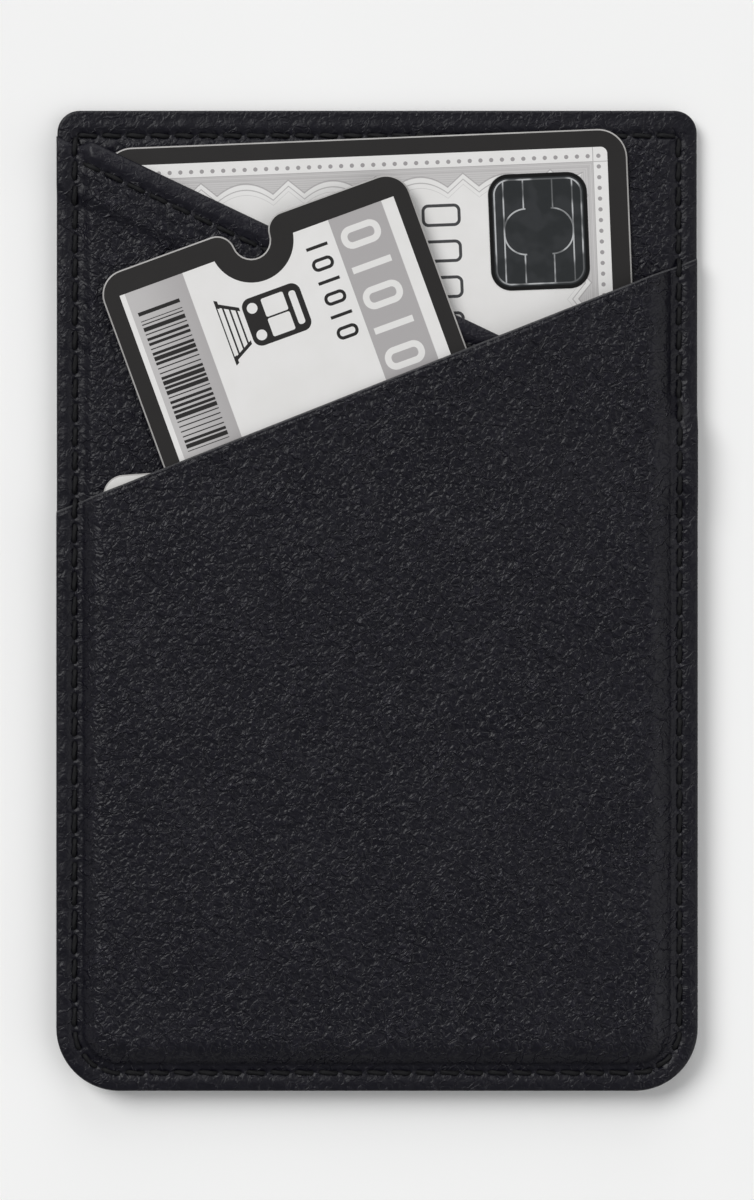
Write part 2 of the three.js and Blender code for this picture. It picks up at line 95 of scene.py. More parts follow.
class Graph:
    """Node tree of one material, with the few calls that its finishes need."""

    def __init__(self, name: str) -> None:
        """Start an empty material, with the place on the piece in millimetres.

        Args:
            name: The material's name.
        """
        self.material = bpy.data.materials.new(name)
        self.material.use_nodes = True
        self.tree = self.material.node_tree
        self.tree.nodes.clear()
        inputs = {0: self.node("TexCoord", {}).outputs["Object"], "Scale": 1 / MM}
        self.place = self.node("VectorMath", inputs, operation="SCALE").outputs[0]

    def node(self, kind: str, inputs: Mapping, **settings: Union[str, bool]) -> bpy.types.Node:
        """Add a node.

        Args:
            kind: The node's type, without its ShaderNode prefix.
            inputs: Values, sockets or numbers, by socket name or position; None changes nothing.
            settings: The node's properties, which are set before its sockets.

        Returns:
            The new node.
        """
        made = self.tree.nodes.new("ShaderNode" + kind)
        for key, value in settings.items():
            setattr(made, key, value)
        for key, value in inputs.items():
            if isinstance(value, Number):
                value = value.socket
            if isinstance(value, Socket):
                self.tree.links.new(value, made.inputs[key])
            elif value is not None:
                made.inputs[key].default_value = value
        return made

    def number(self, kind: str, inputs: Mapping, **settings: str) -> "Number":
        """Add a node and wrap its first output, so that it can be used in expressions."""
        return Number(self, self.node(kind, inputs, **settings).outputs[0])

    def axes(self) -> tuple["Number", "Number"]:
        """Places across and along the piece."""
        split = self.node("SeparateXYZ", {0: self.place}).outputs
        return Number(self, split[0]), Number(self, split[1])

    def noise(self, size: float, detail: float = 2.0, rough: float = 0.5, at: Socket = None,
              dimensions: str = "2D") -> "Number":
        """Soft noise.

        Args:
            size: Typical width of a blotch, in millimetres.
            detail: Octaves.
            rough: Share that each finer octave keeps.
            at: Where it is looked up, if not at the plain place.
            dimensions: "2D" on a flat piece, or "3D" where it also changes with the height.

        Returns:
            The noise, from 0 to 1.
        """
        place = self.place if at is None else at
        inputs = {"Vector": place, "Scale": 1 / size, "Detail": detail, "Roughness": rough}
        return self.number("TexNoise", inputs, noise_dimensions=dimensions)

    def cells(self, size: float, melt: float, at: Socket) -> "Number":
        """Distance from the middle of cells that melt together, as a share of their width."""
        inputs = {"Vector": at, "Scale": 1 / size, "Smoothness": melt}
        return self.number("TexVoronoi", inputs, voronoi_dimensions="2D", feature="SMOOTH_F1")

    def mix(self, mask: "Number", low: Paint, high: Paint) -> Socket:
        """Mix of two colours: a mask of 0 shows the first, 1 the second, and more goes past it."""
        inputs = {0: mask, 6: opaque(low), 7: opaque(high)}
        return self.node("Mix", inputs, data_type="RGBA", clamp_factor=False).outputs[2]

    def bump(self, height: "Number", depth: float, strength: float = 1.0,
             under: Socket = None) -> Socket:
        """Normal of a height from 0 to 1 that stands for a depth, over a bump under it."""
        inputs = {"Height": height, "Distance": depth * MM, "Strength": strength, "Normal": under}
        return self.node("Bump", inputs).outputs[0]

    def surface(self, colour: Paint, rough: Amount, normal: Socket = None,
                **more: float) -> Material:
        """Finish the material with one principled shader.

        Args:
            colour: Base colour.
            rough: Roughness.
            normal: Normal, if it is bumped.
            more: Other sockets of the shader, with _ for a space.

        Returns:
            The material.
        """
        inputs = {"Base Color": opaque(colour), "Roughness": rough, "Normal": normal}
        inputs.update({key.replace("_", " "): value for key, value in more.items()})
        shader = self.node("BsdfPrincipled", inputs)
        self.node("OutputMaterial", {"Surface": shader.outputs[0]})
        return self.material


def maths(operation: str, is_reflected: bool = False) -> Callable[..., "Number"]:
    """Method of a number that adds a Math node.

    Args:
        operation: The node's operation.
        is_reflected: True if the number comes last, as in 1 - mask.

    Returns:
        The method.
    """
    def method(self: "Number", *others: Amount) -> "Number":
        """Result of the operation on this number and the others."""
        operands = (*others, self) if is_reflected else (self, *others)
        return self.graph.number("Math", dict(enumerate(operands)), operation=operation)

    return method


@dataclass(frozen=True)
class Number:
    """A number that varies over a surface, so that shader maths reads as Python."""

    graph: Graph
    socket: Socket

    __add__ = __radd__ = maths("ADD")
    __sub__ = maths("SUBTRACT")
    __rsub__ = maths("SUBTRACT", is_reflected=True)
    __mul__ = __rmul__ = maths("MULTIPLY")
    __truediv__ = maths("DIVIDE")
    __abs__ = maths("ABSOLUTE")
    __gt__ = maths("GREATER_THAN")
    __lt__ = maths("LESS_THAN")
    max = maths("MAXIMUM")
    min = maths("MINIMUM")
    floor = maths("FLOOR")
    fraction = maths("FRACT")
    root = maths("SQRT")

    def repeat(self, pitch: float) -> "Number":
        """Distance from the middle of the nearest cell of a row of cells."""
        return ((self / pitch).fraction() - 0.5) * pitch

    def hypot(self, other: "Number") -> "Number":
        """Length of the arrow with these two sides."""
        return (self * self + other * other).root()

    def between(self, low: float, high: float) -> "Number":
        """1 between two values, else 0."""
        return (self > low) * (self < high)

    def within(self, half: Amount) -> "Number":
        """1 where this is nearer to 0 than half a line's width, else 0."""
        return abs(self) < half

    def soft(self, low: float, high: float) -> "Number":
        """Soft step from 0 at low to 1 at high."""
        inputs = {0: self, 1: low, 2: high}
        return self.graph.number("MapRange", inputs, interpolation_type="SMOOTHSTEP")


def union(*masks: Number) -> Number:
    """Mask that is 1 where any of these is."""
    return reduce(Number.max, masks)


def box_depth(x: Number, y: Number, half_x: float, half_y: float, radius: float) -> Number:
    """Depth inside a rounded box centred on 0, negative outside it.

    Args:
        x: Place across.
        y: Place along.
        half_x: Half the width.
        half_y: Half the height.
        radius: Corner radius.

    Returns:
        The depth in millimetres.
    """
    across = abs(x) - (half_x - radius)
    along = abs(y) - (half_y - radius)
    outside = across.max(0.0).hypot(along.max(0.0))
    return radius - outside - across.max(along).min(0.0)


# Finishes


@dataclass(frozen=True)
class LeatherFinish:
    """Black coated leather with a pebble grain, pressed smooth along its seams."""

    name: str = "black_leather"
    is_hemmed: bool = False
    colour: Colour = (0.0022, 0.0020, 0.0050)
    # Lighter colour that a mask mixes in: random blotches of tone, plus painted highlights on grain
    # crests, creases and a hem's band.
    grain_tone_and_highlight: Colour = (0.0070, 0.0064, 0.0112)
    rough: float = 0.41
    depth: float = 0.155
    warp_scale: float = 1.1
    warp_by: float = 0.8
    pebble: float = 0.72
    pebble_melt: float = 0.55
    fine_share: float = 0.45
    fine_melt: float = 0.4
    wrinkle: float = 2.3
    wrinkle_width: float = 0.07
    crease: float = 1.5
    crease_width: float = 0.035
    crease_slant: float = 48.0
    crease_stretch: float = 2.9
    crease_patch: float = 7.0
    crease_run: Pair = (0.36, 0.52)
    level: float = 0.8
    pebble_cut: float = 0.64
    fine_cut: float = 0.36
    wrinkle_lift: float = 0.3
    crease_lift: float = 0.8
    pore: float = 0.15
    pore_depth: float = 0.012
    pore_strength: float = 0.6
    blotch: float = 9.0
    seam_land: Pair = (2.4, 4.4)
    seam_grain: float = 0.45
    band: Pair = (2.3, 1.8)
    band_flat: float = 0.55
    band_highlight: float = 0.5
    crest_run: Pair = (0.45, 1.05)
    crest_share: float = 0.7
    crease_highlight: float = 0.3
    most_crest: float = 1.6
    blotch_rough: float = 0.14
    relief_gloss: float = 0.05

    def grain(self, graph: Graph) -> tuple[Number, Number]:
        """Pebbles, wrinkles and slanting creases.

        Args:
            graph: The material's graph.

        Returns:
            The height of the grain, and its creases alone.
        """
        inputs = {"Vector": graph.place, "Scale": self.warp_scale, "Detail": 1.0}
        warp = graph.node("TexNoise", inputs, noise_dimensions="2D").outputs[1]
        inputs = {0: warp, 1: (self.warp_by,) * 3, 2: graph.place}
        bent = graph.node("VectorMath", inputs, operation="MULTIPLY_ADD").outputs[0]
        coarse = graph.cells(self.pebble, self.pebble_melt, bent)
        fine = graph.cells(self.pebble * self.fine_share, self.fine_melt, bent)
        folds = abs(graph.noise(self.wrinkle, rough=0.6, at=bent) - 0.5)
        inputs = {"Vector": bent, "Rotation": (0.0, 0.0, math.radians(self.crease_slant)),
                  "Scale": (self.crease_stretch, 1.0, 1.0)}
        slanted = graph.node("Mapping", inputs, vector_type="TEXTURE").outputs[0]
        line = abs(graph.noise(self.crease, rough=0.45, at=slanted) - 0.5)
        patch = graph.noise(self.crease_patch).soft(*self.crease_run)
        crease = line.soft(self.crease_width, 0.0) * patch
        wrinkle = folds.soft(0.0, self.wrinkle_width)
        pebbles = self.level - coarse * self.pebble_cut - fine * self.fine_cut
        return pebbles + wrinkle * self.wrinkle_lift + crease * self.crease_lift, crease

    def hem_band(self, plan: "PocketPlan", x: Number, y: Number) -> Amount:
        """1 on a hem's folded band, pulled smooth and painted lighter as a highlight, else 0.

        Args:
            plan: The pocket's outline.
            x: Place across.
            y: Place along.

        Returns:
            The mask.
        """
        if not self.is_hemmed:
            return 0.0
        left, right = (plan.half_height - drop for drop in Slant.REAR.value)
        slope = (right - left) / (2 * plan.half_width)
        below = ((left + right) / 2 + x * slope - y) / plan.stretch(Slant.REAR)
        return below.soft(*self.band)

    def build(self, plan: "PocketPlan") -> Material:
        """Make the material.

        Args:
            plan: The pocket's outline, for the flattened margin.

        Returns:
            The material.
        """
        graph = Graph(self.name)
        x, y = graph.axes()
        relief, crease = self.grain(graph)
        inside = box_depth(x, y, plan.half_width, plan.half_height, plan.bottom_radius)
        land = inside.soft(*self.seam_land) * (1.0 - self.seam_grain) + self.seam_grain
        smooth_highlit_band = self.hem_band(plan, x, y)
        land = land * (1.0 - smooth_highlit_band * self.band_flat)
        blotch = graph.noise(self.blotch, detail=3.0, rough=0.55)
        normal = graph.bump(relief * land, self.depth)
        pores = graph.noise(self.pore, rough=0.6)
        normal = graph.bump(pores, self.pore_depth, self.pore_strength, normal)
        # Painted highlight on the crests of the grain and along the creases, plus random tone from
        # the blotches.
        grain_tone_and_highlight = relief.soft(*self.crest_run) * land * self.crest_share
        grain_tone_and_highlight = grain_tone_and_highlight + blotch * (1.0 - self.crest_share) + crease * self.crease_highlight
        # Painted highlight that lightens a hem's folded band.
        grain_tone_and_highlight = (grain_tone_and_highlight + smooth_highlit_band * self.band_highlight).min(self.most_crest)
        rough = self.rough + (blotch - 0.5) * self.blotch_rough
        rough = rough + (1.0 - land - relief) * self.relief_gloss
        colour = graph.mix(grain_tone_and_highlight, self.colour, self.grain_tone_and_highlight)
        return graph.surface(colour, rough, normal, Specular_IOR_Level=0.24)


@dataclass(frozen=True)
class CutEdgeFinish:
    """Raw cut edge of the leather: grey fibre with a darker face."""

    name: str = "leather_cut_edge"
    colour: Colour = (0.014, 0.014, 0.016)
    fibre: Colour = (0.12, 0.12, 0.128)
    fibre_size: float = 0.14
    fibre_run: Pair = (0.4, 0.75)
    fibre_depth: float = 0.05
    patch_size: float = 1.7
    patch_run: Pair = (0.3, 0.7)
    patch_share: float = 0.3
    rough: float = 0.8

    def build(self) -> Material:
        """Make the material."""
        graph = Graph(self.name)
        fibres = graph.noise(self.fibre_size, detail=4.0, rough=0.7, dimensions="3D")
        patches = graph.noise(self.patch_size).soft(*self.patch_run)
        patches = patches * self.patch_share + (1 - self.patch_share)
        colour = graph.mix(fibres.soft(*self.fibre_run) * patches, self.colour, self.fibre)
        return graph.surface(colour, self.rough, graph.bump(fibres, self.fibre_depth))


@dataclass(frozen=True)
class ThreadFinish:
    """Black bonded sewing thread."""

    name: str = "black_thread"
    colour: Colour = (0.0030, 0.0030, 0.0036)
    sheen: Colour = (0.0085, 0.0085, 0.0098)
    fuzz_size: float = 0.09
    fuzz_run: Pair = (0.4, 0.75)
    fuzz_depth: float = 0.03
    fuzz_rough: float = 0.3
    rough: float = 0.55

    def build(self) -> Material:
        """Make the material."""
        graph = Graph(self.name)
        fuzz = graph.noise(self.fuzz_size, detail=3.0, rough=0.65, dimensions="3D")
        colour = graph.mix(fuzz.soft(*self.fuzz_run), self.colour, self.sheen)
        normal = graph.bump(fuzz, self.fuzz_depth, strength=0.8)
        rough = fuzz * self.fuzz_rough + self.rough
        return graph.surface(colour, rough, normal, Specular_IOR_Level=0.22)


@dataclass(frozen=True)
class PaperFinish:
    """Plain board or paper with a faint mottle."""

    name: str
    colour: Colour
    shade: Colour
    rough: float = 0.5
    tooth: float = 0.004
    mottle_size: float = 3.5
    mottle_run: Pair = (0.3, 0.75)
    mottle_rough: float = 0.1
    grain_size: float = 0.22
    grain_share: float = 0.3

    def build(self) -> Material:
        """Make the material."""
        graph = Graph(self.name)
        mottle = graph.noise(self.mottle_size, detail=3.0, rough=0.6)
        grain = graph.noise(self.grain_size, detail=3.0, rough=0.6)
        mask = mottle.soft(*self.mottle_run) * (1 - self.grain_share) + grain * self.grain_share
        rough = self.rough + (mottle - 0.5) * self.mottle_rough
        normal = graph.bump(grain, self.tooth)
        return graph.surface(graph.mix(mask, self.shade, self.colour), rough, normal)


class Ink(Enum):
    """Inks of the printed cards."""

    WHITE = (0.74, 0.73, 0.72)
    CREAM = (0.715, 0.705, 0.69)
    GREY = (0.40, 0.385, 0.385)
    LINE = (0.24, 0.225, 0.23)
    DIGIT = (0.045, 0.045, 0.048)
    BLACK = (0.0105, 0.0092, 0.0088)


class Print(Graph):
    """Satin card face on which inks are laid one after the other."""

    mottle_size: float = 4.0
    mottle_run: Pair = (0.2, 0.8)
    tooth_size: float = 0.3
    tooth: float = 0.003
    rough: float = 0.42
    mottle_rough: float = 0.08

    def __init__(self, name: str) -> None:
        """Start with the plain card.

        Args:
            name: The material's name.
        """
        super().__init__(name)
        self.mottle = self.noise(self.mottle_size, detail=3.0)
        pale = self.mottle.soft(*self.mottle_run)
        self.shown = self.mix(pale, Ink.CREAM.value, Ink.WHITE.value)

    def lay(self, mask: Number, ink: Ink) -> None:
        """Lay an ink where the mask is 1."""
        self.shown = self.mix(mask, self.shown, ink.value)

    def finish(self) -> Material:
        """Finish the face with its fine tooth."""
        normal = self.bump(self.noise(self.tooth_size), self.tooth)
        rough = self.mottle * self.mottle_rough + self.rough
        return self.surface(self.shown, rough, normal, Specular_IOR_Level=0.35)


@dataclass(frozen=True)
class BankPrint:
    """Print of the bank card: black border, dotted row, scalloped line work and plain zeros.

    A line has its place, half its width and its shade. A dome and a peak have their least depth and
    how it grows. The hatch has a pitch, half a line and a shade, and a digit two half sizes and a
    corner radius, with a stroke that lies this far in and is half this wide.
    """

    half_width: float
    half_height: float
    border_side: float = 2.05
    border_end: float = 1.85
    field_radius: float = 0.7
    dot_pitch: float = 1.105
    dot_radius: float = 0.22
    dot_ring: float = 0.92
    dot_shade: float = 0.85
    line_shade: float = 0.6
    rule: float = 1.5
    rule_half: float = 0.045
    inner_rule: Pair = (0.5, 0.035)
    scallop: float = 9.0
    scallop_shift: float = 1.0
    dome: Pair = (2.4, 0.137)
    peak: Pair = (2.15, 0.86)
    scallop_lines: Sequence[Sizes] = ((0.0, 0.075, 1.0), (0.62, 0.06, 1.0), (1.15, 0.03, 0.6))
    hatch: Sizes = (0.22, 0.035, 0.45)
    digits: int = 4
    digit_place: Pair = (7.6, 36.4)
    digit_pitch: float = 3.7
    digit_form: Sizes = (2.05, 1.2, 0.75)
    digit_stroke: Pair = (0.2, 0.16)

    def dotted(self, along: Number, ring: Number, half: float) -> Number:
        """1 in a dot of the rows along the two edges across one axis.

        Args:
            along: Place along the rows.
            ring: Distance in from the nearer of these edges.
            half: Half the field's length along the rows.

        Returns:
            The mask.
        """
        start = half - self.dot_ring
        cell = (along - start + self.dot_pitch / 2).repeat(self.dot_pitch)
        dot = cell.hypot(ring - self.dot_ring) < self.dot_radius
        return dot * along.within(start + self.dot_pitch / 2)

    def scalloped(self, along: Number, ring: Number) -> tuple[Number, Number]:
        """Scalloped line work beside one edge.

        Args:
            along: Distance along the edge.
            ring: Distance in from the field's edge.

        Returns:
            The tinted ground outside the scallops, and their lines.
        """
        cell = abs(along.repeat(self.scallop))
        dome = cell * cell * self.dome[1] + self.dome[0]
        peak = (self.scallop / 2 - cell) * self.peak[1] + self.peak[0]
        drop = ring - dome.min(peak)
        ground = (drop < 0.0) * (ring > self.rule)
        lines = sum((drop - at).within(half) * shade for at, half, shade in self.scallop_lines)
        pitch, half, shade = self.hatch
        return ground, (lines + ring.repeat(pitch).within(half) * ground * shade).min(1.0)

    def zeros(self, x: Number, y: Number) -> Number:
        """1 on the column of plain zeros."""
        across, top = self.digit_place
        middles = [top - self.digit_pitch * (index + 0.5) for index in range(self.digits)]
        inset, half = self.digit_stroke
        return union(*[(box_depth(x - across, y - middle, *self.digit_form) - inset).within(half)
                       for middle in middles])

    def build(self) -> Material:
        """Make the material."""
        face = Print("bank_card_print")
        x, y = face.axes()
        half_x = self.half_width - self.border_side
        half_y = self.half_height - self.border_end
        beside = half_x - abs(x)
        below = half_y - abs(y)
        ring = beside.min(below)
        outer = union(*[(edge - self.rule).within(self.rule_half) for edge in (beside, below)])
        inset, half = self.inner_rule
        rules = outer.max((ring - self.rule - inset).within(half) * self.line_shade)
        is_end = below < beside
        along = is_end * (x - self.scallop_shift) + (1.0 - is_end) * y
        ground, lines = self.scalloped(along, ring)
        dots = self.dotted(x, below, half_x).max(self.dotted(y, beside, half_y))
        face.lay(ground * self.line_shade, Ink.GREY)
        face.lay((rules + lines).min(1.0) * self.line_shade, Ink.LINE)
        face.lay(dots * self.dot_shade, Ink.LINE)
        face.lay(self.zeros(x, y), Ink.DIGIT)
        face.lay(box_depth(x, y, half_x, half_y, self.field_radius) < 0.0, Ink.BLACK)
        return face.finish()


@dataclass(frozen=True)
class FigureRow:
    """Row of plain zeros and ones that reads down the ticket."""

    centre: float
    half: float
    pitch: float
    stroke: float
    span: Pair
    half_zero: float = 0.36
    zero_round: float = 0.34

    def drawn(self, u: Number, v: Number) -> Number:
        """1 where there is ink.

        Args:
            u: Distance from the ticket's left edge.
            v: Distance down from its top edge.

        Returns:
            The mask.
        """
        cell = v.repeat(self.pitch)
        is_zero = (v / self.pitch).floor().repeat(2.0) > -0.5
        form = (self.half, self.pitch * self.half_zero, self.pitch * self.zero_round)
        zero = (box_depth(u - self.centre, cell, *form) - self.stroke).within(self.stroke)
        one = cell.within(self.stroke) * (u - self.centre).within(self.half)
        return (zero * is_zero + one * (1.0 - is_zero)) * v.between(*self.span)


@dataclass(frozen=True)
class BarCode:
    """Made-up bars of three widths, with one thick bar first.

    A bar is wider by the second of a pair where its random share is over the first.
    """

    pitch: float = 0.53
    seed: float = 7.0
    thin: float = 0.06
    wider: Sequence[Pair] = ((0.28, 0.09), (0.62, 0.07))
    first: Pair = (4.75, 5.15)
    span: Pair = (5.7, 19.9)
    across: Pair = (2.9, 7.4)

    def drawn(self, graph: Graph, u: Number, v: Number) -> Number:
        """1 where there is ink.

        Args:
            graph: The material's graph.
            u: Distance from the ticket's left edge.
            v: Distance down from its top edge.

        Returns:
            The mask.
        """
        order = (v / self.pitch).floor() + self.seed
        share = graph.number("TexWhiteNoise", {"W": order}, noise_dimensions="1D")
        half = sum((share > over) * more for over, more in self.wider) + self.thin
        bars = v.repeat(self.pitch).within(half) * v.between(*self.span)
        return bars.max(v.between(*self.first)) * u.between(*self.across)


@dataclass(frozen=True)
class TrainPicture:
    """Front of a train on its track, drawn on its side: up for the train is across the ticket.

    A box has its place across, its place off the middle, two half sizes and a corner radius. The
    gauge has its least half width, where it starts to spread, and how much. A foot has its shift
    off the rail and half its width, and the sleepers have a pitch and half a width.
    """

    middle: float = 9.75
    coach: Sizes = (16.25, 0.0, 3.15, 2.55, 0.95)
    window: Sizes = (16.4, 1.07, 1.2, 0.98, 0.2)
    board: Sizes = (18.45, 0.0, 0.36, 1.8, 0.3)
    lamp: Sizes = (14.1, 1.45, 0.55)
    track: Pair = (10.6, 12.85)
    foot_end: float = 10.95
    foot: Pair = (0.1, 0.42)
    rail_half: float = 0.2
    gauge: Sizes = (1.75, 12.9, 0.55)
    sleeper: Pair = (0.62, 0.09)

    def drawn(self, u: Number, v: Number) -> Number:
        """1 where there is ink.

        Args:
            u: Distance from the ticket's left edge.
            v: Distance down from its top edge.

        Returns:
            The mask.
        """
        side = abs(v - self.middle)
        coach, window, board = (
            box_depth(u - across, side - off, *form) > 0.0
            for across, off, *form in (self.coach, self.window, self.board))
        across, off, radius = self.lamp
        lamps = (u - across).hypot(side - off) < radius
        least, start, spread = self.gauge
        rail = side - ((start - u) * spread + least)
        on_track = u.between(*self.track)
        rails = rail.within(self.rail_half) * on_track
        shift, half = self.foot
        feet = (rail - shift).within(half) * u.between(self.track[0], self.foot_end)
        pitch, half = self.sleeper
        sleepers = (u - self.foot_end).repeat(pitch).within(half) * on_track * (rail < 0.0)
        return union(coach * (1.0 - union(window, board, lamps)), rails, sleepers, feet)


@dataclass(frozen=True)
class TicketPrint:
    """Print of the travel ticket: border, two bands, bar code, train and plain figures."""

    width: float
    notch: "Notch"
    side: float = 1.75
    top: float = 2.45
    left_band: Pair = (2.3, 8.6)
    right_band: Pair = (24.5, 30.3)
    shade_run: Pair = (2.3, 9.5)
    shades: Pair = (0.75, 0.3)
    dark_row: FigureRow = FigureRow(22.5, 1.15, 1.85, 0.17, (3.8, 14.9))
    pale_row: FigureRow = FigureRow(27.2, 2.1, 3.3, 0.34, (3.3, 19.8))
    small_row: FigureRow = FigureRow(26.2, 0.55, 0.9, 0.09, (22.5, 33.0))
    bars: BarCode = BarCode()
    train: TrainPicture = TrainPicture()

    def build(self) -> Material:
        """Make the material."""
        face = Print("ticket_print")
        u, y = face.axes()
        v = 0.0 - y
        bands = u.between(*self.left_band).max(u.between(*self.right_band))
        least, more = self.shades
        face.lay(bands * (u.soft(*self.shade_run) * more + least), Ink.GREY)
        face.lay(self.pale_row.drawn(u, v), Ink.CREAM)
        figures = self.dark_row.drawn(u, v).max(self.small_row.drawn(u, v))
        face.lay(union(self.bars.drawn(face, u, v), figures, self.train.drawn(u, v)), Ink.BLACK)
        to_notch = (u - self.notch.along).hypot(v - (self.notch.depth - self.notch.radius))
        notched = to_notch < self.notch.radius + self.top
        face.lay(union(u < self.side, u > self.width - self.side, v < self.top, notched), Ink.BLACK)
        return face.finish()


@dataclass(frozen=True)
class ChipFinish:
    """Dark foil contact plate whose grooves between the contacts are painted bright as highlights.

    The pad in the middle has two half sizes and a corner radius.
    """

    half_width: float
    half_height: float
    radius: float
    foil: Colour = (0.030, 0.033, 0.035)
    glint_foil: Colour = (0.055, 0.058, 0.062)
    line_highlight: Colour = (0.62, 0.63, 0.64)
    rim: Colour = (0.006, 0.006, 0.006)
    rim_width: float = 0.4
    pad: Sizes = (3.55, 2.35, 2.2)
    arc_start: float = 1.3
    inset: float = 0.62
    corner: float = 1.5
    split: float = 1.5
    split_half: float = 0.075
    line_half: float = 0.08
    glint_size: float = 3.2
    glint_run: Pair = (0.42, 0.6)
    glint_share: float = 0.5
    scratch_size: float = 0.5
    scratch_rough: float = 0.12
    rough: float = 0.26
    dull_line: float = 0.2
    groove: float = 0.03

    def lines(self, x: Number, y: Number) -> Number:
        """1 on the lines between the contacts."""
        half_pad, pad_end, _ = self.pad
        contact = box_depth(x, y, self.half_width - self.inset, self.half_height - self.inset,
                            self.corner)
        splits = (abs(x) - self.split).within(self.split_half) * (abs(y) > pad_end)
        flanks = (abs(x) - half_pad).within(self.split_half)
        arcs = box_depth(x, y, *self.pad).within(self.line_half) * (abs(x) > self.arc_start)
        return union(splits.max(flanks) * (contact > 0.0), arcs, contact.within(self.line_half))

    def build(self) -> Material:
        """Make the material."""
        graph = Graph("card_chip_foil")
        x, y = graph.axes()
        lines = self.lines(x, y)
        # Painted glints: a soft noise lightens the foil in patches, and the painted line highlights
        # with it.
        glint = graph.noise(self.glint_size).soft(*self.glint_run)
        scratches = graph.noise(self.scratch_size, detail=4.0, rough=0.7)
        foil = graph.mix(glint * self.glint_share, self.foil, self.glint_foil)
        shine = glint * (1 - self.dull_line) + self.dull_line
        marked = graph.mix(lines * shine, foil, self.line_highlight)
        is_rim = box_depth(x, y, self.half_width, self.half_height, self.radius) < self.rim_width
        rimmed = graph.mix(is_rim, marked, self.rim)
        rough = scratches * self.scratch_rough + self.rough
        return graph.surface(rimmed, rough, graph.bump(lines, self.groove), Metallic=0.5)


@dataclass(frozen=True)
class FloorFinish:
    """Pale matt floor."""

    colour: Colour = (0.90, 0.897, 0.89)
    shade: float = 0.97
    cloud_size: float = 40.0
    rough: float = 0.9

    def build(self) -> Material:
        """Make the material."""
        graph = Graph("pale_floor")
        shade = tuple(self.shade * part for part in self.colour)
        colour = graph.mix(graph.noise(self.cloud_size), shade, self.colour)
        return graph.surface(colour, self.rough)


# Shapes of the pocket


class Slant(Enum):
    """The two mouths, by how far each end lies below the top edge."""

    REAR = (1.6, 33.0)
    FRONT = (41.5, 15.4)


